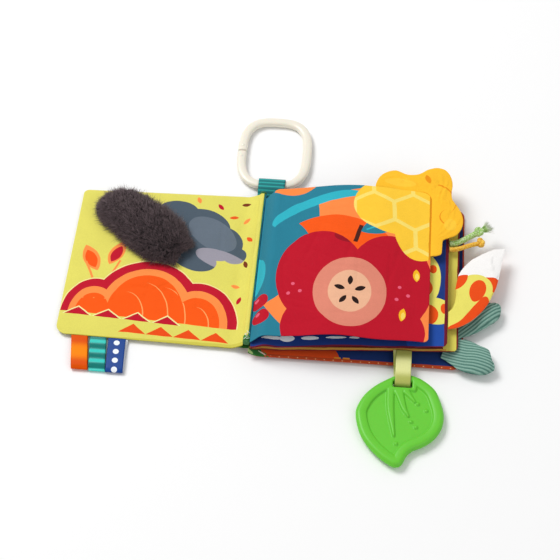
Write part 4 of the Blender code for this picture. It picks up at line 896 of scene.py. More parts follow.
@dataclass
class SewnForm:
    """Two cloths sewn round a filling: cloth simulation swells a coarse form, and a fine one takes the result.

    The fine surface is the middle surface plus the half thickness times a share from the simulation, less soft
    creases that run in from the seam.
    """

    name: str
    rows: Array
    columns: Array
    shape: Callable[[Array, Array], tuple[Array, Array]]
    times: int = 4
    pressure: float = 2.0
    slack: float = 0.8
    least: float = 0.5
    drift: float = 0.9 * MM
    crease: float = 1.25 * MM
    crease_pitch: float = 15.0 * MM
    crease_run: float = 9.0 * MM
    seed: int = 1
    floor: bool = False
    rest: Piece | None = field(default=None, repr=False)
    shares: tuple[Array, Array] | None = field(default=None, repr=False)
    drifts: tuple[Array, Array] | None = field(default=None, repr=False)

    def middle_and_half(self, rows: Array, columns: Array) -> tuple[Array, Array]:
        """Gives the middle surface and the half thickness as a vector, nothing at the rim."""
        front, back = self.shape(rows, columns)
        half = (front - back) / 2.0
        half[[0, -1]] = 0.0
        half[:, [0, -1]] = 0.0
        return (front + back) / 2.0, half

    def start(self) -> None:
        """Makes the coarse form with its Cloth, its rim pinned."""
        middle, half = self.middle_and_half(self.rows, self.columns)
        self.rest = put_sewn(f"{self.name}_rest", middle + self.slack * half, middle - self.slack * half)
        pin = self.rest.vertex_groups.new(name="seam")
        rim = np.ones(middle.shape[:2], bool)
        rim[1:-1, 1:-1] = False
        pin.add([int(i) for i in np.flatnonzero(rim)], 1.0, "REPLACE")
        cloth = self.rest.modifiers.new("cloth", "CLOTH")
        for name, value in (
            ("quality", 5), ("mass", 0.2), ("use_pressure", True), ("uniform_pressure_force", self.pressure),
            ("vertex_group_mass", "seam"), ("shrink_min", -0.012), ("bending_stiffness", 0.4),
        ):
            setattr(cloth.settings, name, value)
        cloth.settings.effector_weights.gravity = 0.0
        cloth.collision_settings.use_collision = False
        cloth.point_cache.frame_start = 1
        cloth.point_cache.frame_end = SIM_FRAMES

    def take(self) -> None:
        """Reads the swollen form as shares of the half thickness and drifts along the cloth, both capped."""
        middle, half = self.middle_and_half(self.rows, self.columns)
        graph = bpy.context.evaluated_depsgraph_get()
        mesh = self.rest.evaluated_get(graph).to_mesh()
        points = np.empty(len(mesh.vertices) * 3, np.float32)
        mesh.vertices.foreach_get("co", points)
        points = points.reshape(-1, 3).astype(float)
        front = points[: middle[..., 0].size].reshape(middle.shape)
        back = front.copy()
        back[1:-1, 1:-1] = points[middle[..., 0].size :].reshape(back[1:-1, 1:-1].shape)
        bpy.data.objects.remove(self.rest)
        self.rest = None
        shares, drifts = [], []
        size = np.maximum(np.linalg.norm(half, axis=2, keepdims=True), 1.0e-6)
        for moved, way in ((front, 1.0), (back, -1.0)):
            normal = way * half / size
            reach = np.sum((moved - middle) * normal, axis=2, keepdims=True)
            share = reach / size
            share[[0, -1]] = 1.0
            share[:, [0, -1]] = 1.0
            share /= np.percentile(share[2:-2, 2:-2], 90.0)
            slide = moved - middle - reach * normal
            length = np.maximum(np.linalg.norm(slide, axis=2, keepdims=True), 1.0e-9)
            shares.append(np.clip(share[..., 0], 0.55, 1.0))
            drifts.append(slide * np.minimum(1.0, self.drift / length))
        self.shares, self.drifts = tuple(shares), tuple(drifts)

    def finer(self, count: int) -> Array:
        """Gives the weights that read a fine row of values from a coarse one along a cubic."""
        return smooth(np.eye(count), (count - 1) * self.times + 1)

    def creases(self, middle: Array) -> Array:
        """Gives the depth of soft creases at each point of the middle surface.

        Waves run along the rim and fade inwards, a slow swell lies over all, and a few narrow folds, each a
        Gaussian of a sine, come and go along their length.
        """
        source = np.random.default_rng(self.seed)
        down = np.linalg.norm(np.diff(middle, axis=0, prepend=middle[:1]), axis=2).cumsum(axis=0)
        over = np.linalg.norm(np.diff(middle, axis=1, prepend=middle[:, :1]), axis=2).cumsum(axis=1)
        depth = np.zeros(down.shape)
        near_side, near_end = np.minimum(over, over[:, -1:] - over), np.minimum(down, down[-1:] - down)
        for along, inward in ((down, near_side), (over, near_end)):
            for pitch in (self.crease_pitch, 0.62 * self.crease_pitch, 1.7 * self.crease_pitch):
                phase = source.uniform(0.0, TURN)
                sway = 1.6 * np.sin(along / (3.1 * pitch) + source.uniform(0.0, 6.0))
                run = self.crease_run * (0.8 + 0.5 * np.sin(along / (2.3 * pitch) + phase))
                wave = 0.5 + 0.5 * np.sin(TURN * along / pitch + phase + sway)
                depth += wave**2 * np.exp(-((inward / np.maximum(run, 2.0 * MM)) ** 2)) / 2.2
        for _ in range(5):
            turn, phase = source.uniform(0.0, TURN, 2)
            pitch = source.uniform(22.0, 48.0) * MM
            slope = (np.cos(turn) * down + np.sin(turn) * over) * TURN / pitch
            depth += 0.14 * (0.5 + 0.5 * np.sin(slope + phase))
        for _ in range(6):
            turn = source.normal(0.0, 0.45) + source.integers(0, 2) * math.pi / 2.0
            phase = source.uniform(0.0, 6.0)
            pitch = source.uniform(34.0, 70.0) * MM
            bow = 2.2 * MM * np.sin((over - down) / (17.0 * MM) + phase)
            slope = (np.cos(turn) * down + np.sin(turn) * over + bow) * TURN / pitch
            beside = (np.cos(turn) * over - np.sin(turn) * down) / (19.0 * MM)
            fade = np.clip(np.sin(beside + 2.0 * phase), 0.0, 1.0)
            depth += 0.3 * fade * np.exp(-((np.sin(slope + phase) / 0.17) ** 2))
        return self.crease * depth

    def fine(self) -> tuple[Array, Array]:
        """Gives the fine front and back grids.

        Returns:
            Front and back points on a shared rim.
        """
        down, across = self.finer(len(self.rows)), self.finer(len(self.columns))
        middle, half = self.middle_and_half(down @ self.rows, across @ self.columns)
        size = np.maximum(np.linalg.norm(half, axis=2, keepdims=True), 1.0e-6)
        depth = self.creases(middle)[..., None]
        sides = []
        for number, way in enumerate((1.0, -1.0)):
            share, slide = np.ones(middle.shape[:2]), np.zeros(middle.shape)
            if self.shares:
                share = down @ self.shares[number] @ across.T
                slide = np.einsum("ia,abk,jb->ijk", down, self.drifts[number], across)
            keep = np.clip(share[..., None] - np.minimum(depth / size, 0.45), self.least, 1.0)
            grid = middle + slide + way * half * keep
            if self.floor:
                grid[..., 2] = np.maximum(grid[..., 2], 0.05 * MM)
            sides.append(grid)
        sides[1][[0, -1]] = sides[0][[0, -1]]
        sides[1][:, [0, -1]] = sides[0][:, [0, -1]]
        return sides[0], sides[1]


def swell(forms: list[SewnForm]) -> None:
    for form in forms:
        form.start()
    scene = bpy.context.scene
    for number in range(1, SIM_FRAMES + 1):
        scene.frame_set(number)
    for form in forms:
        form.take()
    scene.frame_set(1)


@dataclass(frozen=True)
class LeafForm:
    """One padded leaf: its middle line leaves the spine in a cubic and runs level, arched a little."""

    name: str
    slot: str
    level: int
    angle: float
    neck: float
    reach: float
    low: float
    high: float
    arch: float = 0.0
    side: float = 1.0
    taper: float = 0.0
    low_corner: float = CORNER_RADIUS
    high_corner: float = CORNER_RADIUS
    wave: float = 0.0
    spread: float = 0.0
    drop: float = 0.0
    fall: float = 0.0
    fall_run: float = 110.0 * MM

    @property
    def middle(self) -> float:
        """Height of the leaf's middle surface over the ground."""
        return CROWN_HALF + self.level * (2 * CROWN_HALF + LEAF_GAP)

    @cached_property
    def line(self) -> Array:
        """Middle line as X and Z out from the spine axis."""
        way = heading(self.angle)[0][:2]
        root = way * (SPINE_RADIUS + SPINE_CLEARANCE)
        level = self.middle - SPINE[2]
        start = np.array([self.side * self.neck, level])
        span = np.linalg.norm(start - root)
        t = np.linspace(0.0, 1.0, 24)[:, None]
        neck = cubic(root, start, way * span, np.array([self.side, 0.0]) * span, t)
        share = np.linspace(0.0, 1.0, 60)[1:]
        panel_x = self.side * (self.neck + share * (self.reach - self.neck))
        panel_z = level + self.arch * np.sin(math.pi * share) ** 2
        return np.concatenate([neck, np.stack([panel_x, panel_z], axis=1)])

    @cached_property
    def along(self) -> Array:
        """Arc length at each point of the middle line."""
        return arc_lengths(self.line)

    @cached_property
    def normals(self) -> Array:
        """Unit normals of the middle line, upwards."""
        ways = unit(np.gradient(self.line, self.along, axis=0))
        return np.stack([-ways[:, 1], ways[:, 0]], axis=1) * self.side

    def sides(self, s: Array) -> tuple[Array, Array]:
        """Gives the lowest and highest Y at arc lengths.

        The outer corners are round, the near edge spreads to the spine and the far edge falls to it.
        """
        share = s / self.along[-1]
        fall = self.fall * np.clip(1.0 - s / self.fall_run, 0.0, 1.0) ** 2
        narrow = 1.0 - self.taper * share
        low = self.low * narrow + self.spread * (1.0 - share)
        low_cut, high_cut = (
            radius - np.sqrt(radius**2 - np.clip(s - (self.along[-1] - radius), 0.0, radius) ** 2)
            for radius in (self.low_corner, self.high_corner)
        )
        sway = 0.4 * self.wave * np.sin(s / (9.0 * MM) + 2.0 * self.level)
        return low_cut + sway - low, self.high * narrow - high_cut - fall

    def faces(self, s: Array, v: Array) -> tuple[Array, Array]:
        """Gives the front and the back face.

        They are the middle line plus and less its normal times the half thickness, which follows a quarter
        ellipse in from each sewn edge.

        Args:
            s: Arc lengths out from the spine.
            v: Shares across, from -1 to 1.

        Returns:
            Two grids of points in the frame of the part.
        """
        low, high = self.sides(s)
        across = ((high - low) / 2.0)[:, None] * (1.0 - np.abs(v))[None, :]
        share = (pillow(self.along[-1] - s, EDGE_RAMP) * pillow(s - THIN_ROOT, ROOT_RAMP))[:, None]
        share = share * pillow(across, EDGE_RAMP)
        read_line = (*self.line.T, *self.normals.T)
        x, z, nx, nz = (np.interp(s, self.along, values)[:, None] for values in read_line)
        y = low[:, None] + (high - low)[:, None] * (v[None, :] + 1.0) / 2.0
        ripple = self.wave * np.sin(s / (12.0 * MM) + self.level) * pillow(s, ROOT_RAMP)
        ripple -= self.drop * np.clip(s / ROOT_RAMP, 0.0, 1.0) * (1.0 - s / self.along[-1])
        ripple = ripple[:, None] * np.clip(-v, 0.0, 1.0)[None, :] ** 6
        grids = []
        for way, flat in ((1.0, 0.0), (-1.0, FLAT_DEPTH if self.level == 0 else 0.0)):
            offset = way * (SEAM_HALF + (CROWN_HALF + flat - SEAM_HALF) * share)
            points = np.stack([x + nx * offset, y, z + nz * offset], axis=2) + SPINE
            points[:, :, 2] += ripple
            if self.level == 0:
                points[:, :, 2] = np.maximum(points[:, :, 2], 0.0)
            grids.append(points)
        return grids[0], grids[1]


LEAVES = (
    LeafForm(
        "back_cover", "navy_cloth", 0, -58.0, 12.5 * MM, 169.0 * MM, 83.0 * MM, 78.0 * MM, fall=6.5 * MM,
        fall_run=30.0 * MM,
    ),
    LeafForm(
        "leaf_c", "yellow_cloth", 1, -27.0, 14.0 * MM, 164.5 * MM, 70.5 * MM, 75.0 * MM, 0.5 * MM,
        low_corner=5.0 * MM, spread=9.5 * MM, drop=3.0 * MM, fall=4.0 * MM, fall_run=40.0 * MM,
    ),
    LeafForm(
        "leaf_b", "navy_cloth", 2, 4.0, 16.0 * MM, 155.5 * MM, 72.0 * MM, 75.5 * MM, 1.5 * MM,
        low_corner=5.0 * MM, wave=0.7 * MM, spread=8.5 * MM, drop=5.0 * MM, fall=7.0 * MM, fall_run=50.0 * MM,
    ),
    LeafForm(
        "leaf_a", "red_cloth", 3, 35.0, 15.5 * MM, 140.5 * MM, 73.5 * MM, 77.5 * MM, 5.0 * MM,
        low_corner=4.5 * MM, wave=0.9 * MM, spread=3.0 * MM, fall=8.5 * MM,
    ),
    LeafForm(
        "front_cover", "yellow_cloth", 0, 215.0, 14.0 * MM, 152.0 * MM, 77.5 * MM, 77.5 * MM, side=-1.0,
        taper=0.045, high_corner=4.5 * MM, fall=1.2 * MM, fall_run=18.0 * MM,
    ),
)


@dataclass
class PaddedLeaf:
    """A leaf as it is sewn: a printed cover of two cloths, and a film and wadding inside it."""

    form: LeafForm
    seed: int
    step: float = 4.6 * MM
    inner_edge: float = 16.0 * MM
    inner_count: int = 70
    edge: tuple[float, ...] = (0.0, 0.9 * MM, 2.4 * MM, 4.8 * MM, 8.0 * MM)

    @property
    def width(self) -> float:
        """Width of the leaf from its near edge to its far one, its spread left out."""
        return self.form.low + self.form.high

    def stations(self, length: float) -> Array:
        """Gives stations along a length, an even step apart, with closer ones at both ends."""
        run = length - 2 * self.edge[-1]
        inner = np.linspace(self.edge[-1], length - self.edge[-1], max(3, round(run / self.step)))[1:-1]
        return np.concatenate([self.edge, inner, length - np.array(self.edge[::-1])])

    def sewn(self) -> SewnForm:
        """Gives the cover's form."""
        form = self.form
        shares = 2.0 * self.stations(self.width) / self.width - 1.0
        return SewnForm(
            form.name, self.stations(form.along[-1]), shares, form.faces, seed=self.seed, floor=form.level == 0
        )

    def dress(self, sewn: SewnForm) -> None:
        """Makes the cover, the film and the wadding.

        Args:
            sewn: The cover's form after its simulation.
        """
        name, count = self.form.name, self.inner_count
        cover = put_sewn(f"{name}_sewn_cover", *sewn.fine(), two_cloths=True)
        hand_over(cover, name, self.form.slot, PRINTS[name], f"{name}_front_cloth", f"{name}_back_cloth")
        s = np.linspace(ROOT_RAMP, self.form.along[-1] - self.inner_edge, count)
        share = 1.0 - 2.0 * self.inner_edge / self.width
        v = np.linspace(-share, share, count)
        upper, lower = self.form.faces(s, v)
        middle, half = (upper + lower) / 2.0, (upper - lower) / 2.0
        source = np.random.default_rng(self.seed + 40)
        film = middle + half * (0.4 - 0.12 * self.crumple(source, s, v))[..., None]
        sheet = put_sheet(f"{name}_crackle_film", film, FILM_THICKNESS)
        hand_over(sheet, name, "crinkle_film", (CRINKLE_FILM,), f"{name}_crinkle_film")
        fluff = 0.04 * source.normal(size=(count, count, 1))
        top, bottom = middle + half * (0.2 + fluff), middle - half * (0.44 + fluff)
        for side in (top, bottom):
            side[[0, -1]] = middle[[0, -1]]
            side[:, [0, -1]] = middle[:, [0, -1]]
        batting = put_sewn(f"{name}_batting", top, bottom)
        hand_over(batting, name, "wadding", (WADDING,), f"{name}_wadding")

    def crumple(self, source: np.random.Generator, s: Array, v: Array) -> Array:
        """Gives the depth of sharp random folds, from 0 to 1: the sum of folded waves at random turns.

        Args:
            source: Where the folds come from.
            s: Arc lengths of the rows.
            v: Shares across of the columns.

        Returns:
            A depth for each point of the grid.
        """
        folds = 7
        across = v * self.width / 2.0
        depth = np.zeros((len(s), len(v)))
        for _ in range(folds):
            turn, phase = source.uniform(0.0, TURN, 2)
            pitch = source.uniform(9.0, 24.0) * MM
            slope = (math.cos(turn) * s[:, None] + math.sin(turn) * across[None, :]) * TURN / pitch
            depth += np.abs(np.sin(slope + phase)) / folds
        return depth


@dataclass
class Spine:
    """The sewn spine: a rolled seam allowance under green cloth, a strip beneath it and a tack at each end."""

    radius: float = SPINE_RADIUS
    length: float = SPINE_LENGTH
    strip_width: float = 13.4 * MM
    strip_thickness: float = 0.5 * MM
    tack_length: float = 2.2 * MM
    stitch_half: float = 1.7 * MM
    stitch_radius: float = 0.25 * MM
    stitches: tuple[tuple[float, float, float], ...] = (
        (-1.0, -73.0, 40.0), (0.0, -71.0, -30.0), (1.2, -73.2, 35.0), (-0.6, -69.0, 25.0), (0.9, -67.4, -35.0),
    )

    def build(self) -> None:
        """Makes the roll, the strip, the tacks and the closing stitches."""
        self._roll()
        self._strip()
        self._tack("head", 1.0)
        self._tack("tail", -1.0)
        self._stitches()

    def _drum(self, y: Array, turn: Array, radius: Array) -> Array:
        """Gives circles of a radius carried along Y on the spine's axis."""
        parts = np.broadcast_arrays(radius * np.cos(turn), y[:, None], radius * np.sin(turn))
        return np.stack(parts, axis=2) + SPINE

    def _roll(self) -> None:
        """Makes the roll: a circle carried along Y whose radius dips in slow pleats."""
        y = np.linspace(-self.length, self.length, 220) / 2.0
        turn = circle(40)
        pleat = 0.12 * MM * np.sin(7.0 * turn + y[:, None] / (4.0 * MM)) * np.sin(y[:, None] / (9.0 * MM))
        roll = put_tubes("spine_roll", self._drum(y, turn, self.radius - 0.15 * MM + pleat))
        hand_over(roll, "back_cover", "green_cloth", (SPINE_CLOTH,), "spine_cord")

    def _strip(self) -> None:
        """Makes the strip under the spine: a shallow trough that ripples a little along its length."""
        x = np.linspace(-self.strip_width, self.strip_width, 21) / 2.0
        y = np.linspace(-self.length, self.length, 120)[:, None] / 2.0
        z = 0.2 * MM + 0.25 * MM * (2.0 * x / self.strip_width) ** 2 + 0.06 * MM * np.sin(y / (3.4 * MM))
        grid = np.stack(np.broadcast_arrays(x + SPINE[0], y, z), axis=2)
        strip = put_sheet("spine_cloth_strip", grid, self.strip_thickness, offset=1.0, flip=True)
        hand_over(strip, "back_cover", "green_cloth", (GREEN_CLOTH,), "spine_strip")

    def _tack(self, end: str, side: float) -> None:
        """Makes a tack of thread: a short drum whose radius follows the rounds of the thread."""
        share, turn = np.linspace(0.0, 1.0, 45), circle(32)
        rounds = 0.18 * MM * np.abs(np.sin(2.0 * TURN * share[:, None] + 0.5 * turn))
        shut = np.sqrt(np.clip(1.0 - np.abs(2.0 * share - 1.0) ** 6, 0.0, 1.0))[:, None]
        y = side * (self.length / 2.0 + PIECE_GAP + self.tack_length * share)
        radius = (self.radius - 0.35 * MM + rounds) * shut
        tack = put_tubes(f"spine_{end}_thread_tack", self._drum(y, turn, radius))
        hand_over(tack, "back_cover", "thread", (GREEN_THREAD,), f"spine_{end}_bartack")

    def _stitches(self) -> None:
        """Makes a few slanted closing stitches over the near end of the roll."""
        share = np.linspace(-1.0, 1.0, 12)[:, None]
        grids = []
        for x, y, turn in self.stitches:
            path = np.array([x * MM, y * MM, 0.0]) + share * heading(turn)[0] * self.stitch_half
            path[:, 2] = np.sqrt(np.maximum((self.radius - 0.1 * MM) ** 2 - path[:, 0] ** 2, 0.0))
            grids.append(round_tube(path + SPINE, self.stitch_radius * np.sqrt(1.0 - share**4) + 1.0e-5, 8))
        piece = put_tubes("spine_closing_stitches", *grids)
        hand_over(piece, "back_cover", "thread", (WHITE_THREAD,))


@dataclass
class RibbonLoop:
    """A ribbon folded back on itself and sewn in by both ends: a path out along Y, carried across X."""

    name: str
    root: Array
    shares: tuple[tuple[float, float], ...]
    length: float
    rise: float
    width: float
    finishes: tuple[Finish, ...]
    slot: str
    rests_on: str
    way: float = 1.0
    slant: float = 0.0
    skew: float = 0.0
    ripple: float = 0.0
    ripple_pitch: float = 4.4 * MM
    ripple_fade: float = 4.0 * MM
    curl: float = 0.12 * MM
    thickness: float = 0.35 * MM
    ground_gap: float = 0.4 * MM

    def build(self) -> None:
        """Makes the ribbon: rows along the path, columns across, thickened to both sides."""
        path = smooth(np.array(self.shares) * (self.length, self.rise), 140)
        along = arc_lengths(path)
        ways = unit(np.gradient(path, along, axis=0))
        normal = np.stack([-ways[:, 1], ways[:, 0]], axis=1)
        fade = np.clip(np.minimum(along, along[-1] - along) / self.ripple_fade, 0.0, 1.0)
        wave = self.ripple * fade * np.sin(TURN * along / self.ripple_pitch)
        path = path - normal * wave[:, None]
        across = np.linspace(-0.5, 0.5, 15)
        lean = self.slant * path[:, 0] + self.skew * np.clip(2.0 * along / along[-1] - 1.0, 0.0, 1.0)
        x = self.root[0] + across * self.width + lean[:, None]
        y = self.root[1] + self.way * path[:, :1]
        z = path[:, 1:] + self.ground_gap - self.curl * (2.0 * across) ** 2 * np.sign(normal[:, 1:] + 1e-9)
        z = np.maximum(z, self.thickness / 2.0 + 0.05 * MM)
        grid = np.stack(np.broadcast_arrays(x, y, z), axis=2)
        uv = np.stack(np.broadcast_arrays(across * self.width, along[:, None]), axis=2)
        ribbon = put_sheet(f"{self.name}_loop", grid, self.thickness, 0.0, self.way > 0, uv.reshape(-1, 2))
        ribbon.modifiers["thickness"].material_offset = len(self.finishes) - 1
        hand_over(ribbon, self.name, self.slot, self.finishes, self.name)


TAG_SHARES = (
    (0.0, 0.86), (0.18, 0.97), (0.51, 1.0), (0.84, 0.97), (0.95, 0.79), (1.0, 0.47), (0.95, 0.14),
    (0.84, 0.01),
    (0.51, 0.0), (0.18, 0.16), (0.0, 0.57),
)
RING_RIBBON_SHARES = (
    (0.0, 0.41), (0.13, 0.63), (0.31, 0.91), (0.49, 1.0), (0.77, 1.0), (0.93, 0.85), (1.0, 0.48), (0.93, 0.14),
    (0.77, 0.0), (0.49, 0.0), (0.31, 0.01), (0.13, 0.1), (0.0, 0.28),
)
# Places along, and heights as shares of the tallest height and of the height over the slot
TEETHER_RIBBON_SHARES = (
    (-0.11, 1.05, 0.0), (0.17, 1.07, 0.0), (0.39, 0.6, 0.49), (0.63, 0.0, 1.075), (0.83, 0.0, 1.005),
    (0.96, 0.0, 0.84), (1.0, 0.0, 0.51), (0.98, 0.0, 0.2), (0.93, 0.0, 0.05), (0.83, 0.0, 0.0),
    (0.63, 0.0, 0.01),
    (0.46, 0.1, 0.15), (0.28, 0.45, 0.2), (0.13, 0.78, 0.08), (0.0, 0.96, 0.0), (-0.11, 1.0, 0.0),
)


def ribbon_loops() -> list[RibbonLoop]:
    """Gives the three tags, the ring's ribbon and the teether's ribbon."""
    tags = (
        ("tag_orange", -222.1, -75.023, 13.0, 0.15, (ORANGE_SATIN,), "orange_ribbon", 0.0, 0.45, 30.0),
        ("tag_teal", -207.2, -75.366, 12.8, 0.11, (TEAL_SATIN,), "teal_ribbon", 0.0, 0.85, 9.0),
        ("tag_blue", -192.0, -75.727, 13.6, 0.06, (BLUE_SATIN, WHITE_SATIN), "blue_ribbon", 1.6, 0.0, 30.0),
    )
    loops = [
        RibbonLoop(
            name, np.array([x, y]) * MM, TAG_SHARES, 30.6 * MM, 3.8 * MM, width * MM, finishes, slot,
            "front_cover_sewn_cover", way=-1.0, slant=slant, skew=skew * MM, ripple=ripple * MM,
            ripple_pitch=pitch * MM,
        )
        for name, x, y, width, slant, finishes, slot, skew, ripple, pitch in tags
    ]
    loops.append(RibbonLoop(
        "ring_ribbon", np.array([-84.25, 78.6]) * MM, RING_RIBBON_SHARES, 18.1 * MM, 7.9 * MM, 22.5 * MM,
        (TEAL_GROSGRAIN,), "teal_ribbon", "hanging_ring", ripple=0.08 * MM,
    ))
    heights = np.array([9.35, 8.56]) * MM
    shares = np.array(TEETHER_RIBBON_SHARES)
    path = np.stack([shares[:, 0], shares[:, 1:] @ heights / heights[0]], axis=1)
    loops.append(RibbonLoop(
        "teether_ribbon", np.array([32.8, -75.4]) * MM, path, 27.1 * MM, float(heights[0]), 12.0 * MM,
        (PALE_SATIN,), "pale_ribbon", "leaf_teether", way=-1.0, skew=-2.4 * MM,
    ))
    return loops


@dataclass
class HangingRing:
    """The split ring: a band of flattened section round a rounded square, open at one narrow slit."""

    centre: Array = field(default_factory=lambda: np.array([-85.0, 90.2, 4.2]) * MM)
    half_width: float = 28.0 * MM
    half_length: float = 36.8 * MM
    band_half: float = 4.0 * MM
    band_rise: float = 3.0 * MM
    slit: float = 0.14 * MM
    drop: float = 1.16 * MM
    section: float = 0.78
    stud_radius: float = 1.5 * MM
    stud_rise: float = 0.65 * MM
    stud_step: float = 6.0 * MM

    def build(self) -> None:
        """Makes the band, a squared oval section round a squared oval, and its two press studs."""
        gap = self.slit / (2.0 * self.half_width)
        turn = np.linspace(math.pi - gap, gap - math.pi, 260)
        x, y = squared(np.cos(turn), 2.0 / 3.0), 1.0 + squared(np.sin(turn), 2.0 / 3.0)
        path = np.stack([self.half_width * x, self.half_length * y, 0.0 * turn], axis=1)
        arc = arc_lengths(path)
        even = np.linspace(0.0, arc[-1], len(turn))
        path = read(even, arc, path)
        near = np.minimum(even, arc[-1] - even)
        end = 0.9 + 0.1 * pillow(near, 0.5 * MM)
        waist = 1.0 - 0.06 * np.exp(-(((near - 11.0 * MM) / (1.0 * MM)) ** 2))
        snug = 1.0 - 0.055 * np.exp(-((path[:, 1] / (7.0 * MM)) ** 2))
        size = (end * waist * snug)[:, None]
        around = circle(36)
        wide = self.band_half * size * squared(np.cos(around), self.section)
        high = self.band_rise * size * squared(np.sin(around), self.section)
        band = put_tubes("hanging_ring", self._place(rings(path, *frames_along(path), wide, high)))
        hand_over(band, "ring", "ring_plastic", (RING_PLASTIC,), "ring")
        share, around = np.linspace(0.0, 1.0, 9)[:, None], circle(24)
        x, y = (self.stud_radius * np.sqrt(1.0 - share**3) * part for part in (np.cos(around), np.sin(around)))
        z = self.band_rise - 0.25 * MM + self.stud_rise * share
        studs = (
            np.stack(np.broadcast_arrays(x - self.half_width, y + self.half_length + step, z), axis=2)
            for step in (-self.stud_step, self.stud_step)
        )
        pair = put_tubes("hanging_ring_studs", *(self._place(stud) for stud in studs))
        hand_over(pair, "ring", "ring_plastic", (RING_PLASTIC,))

    def _place(self, points: Array) -> Array:
        """Tilts the ring down about its near end and sets it at its place."""
        angle = -math.atan(self.drop / (2.0 * self.half_length))
        x, y, z = np.moveaxis(points, -1, 0)
        turned = (x, y * math.cos(angle) - z * math.sin(angle), y * math.sin(angle) + z * math.cos(angle))
        return np.stack(turned, axis=-1) + self.centre


TEETHER_OUTLINE_SHARES = (
    (0.04, 0.0), (-0.21, 0.036), (-0.57, 0.137), (-0.83, 0.255), (-0.985, 0.394), (-1.0, 0.5), (-0.89, 0.67),
    (-0.69, 0.806), (-0.4, 0.925), (-0.15, 0.993), (-0.015, 1.0), (0.09, 0.97), (0.19, 0.88), (0.32, 0.82),
    (0.565, 0.764), (0.807, 0.677), (0.967, 0.554), (1.0, 0.42), (0.92, 0.277), (0.78, 0.146), (0.52, 0.052),
    (0.266, 0.006),
)
# Each vein is a line of places with a half width that narrows, in shares like the outline's
TEETHER_VEIN_SHARES = (
    ((-0.24, 0.17, 0.075), (-0.22, 0.4, 0.07), (-0.12, 0.68, 0.02)),
    ((-0.05, 0.19, 0.1), (0.0, 0.26, 0.075), (0.09, 0.38, 0.05), (0.19, 0.46, 0.018)),
    ((0.13, 0.19, 0.07), (0.22, 0.24, 0.045), (0.33, 0.3, 0.018)),
)
TEETHER_DOT_SHARES = ((0.4, 0.32), (0.6, 0.388), (0.26, 0.519), (0.375, 0.575), (-0.063, 0.764))


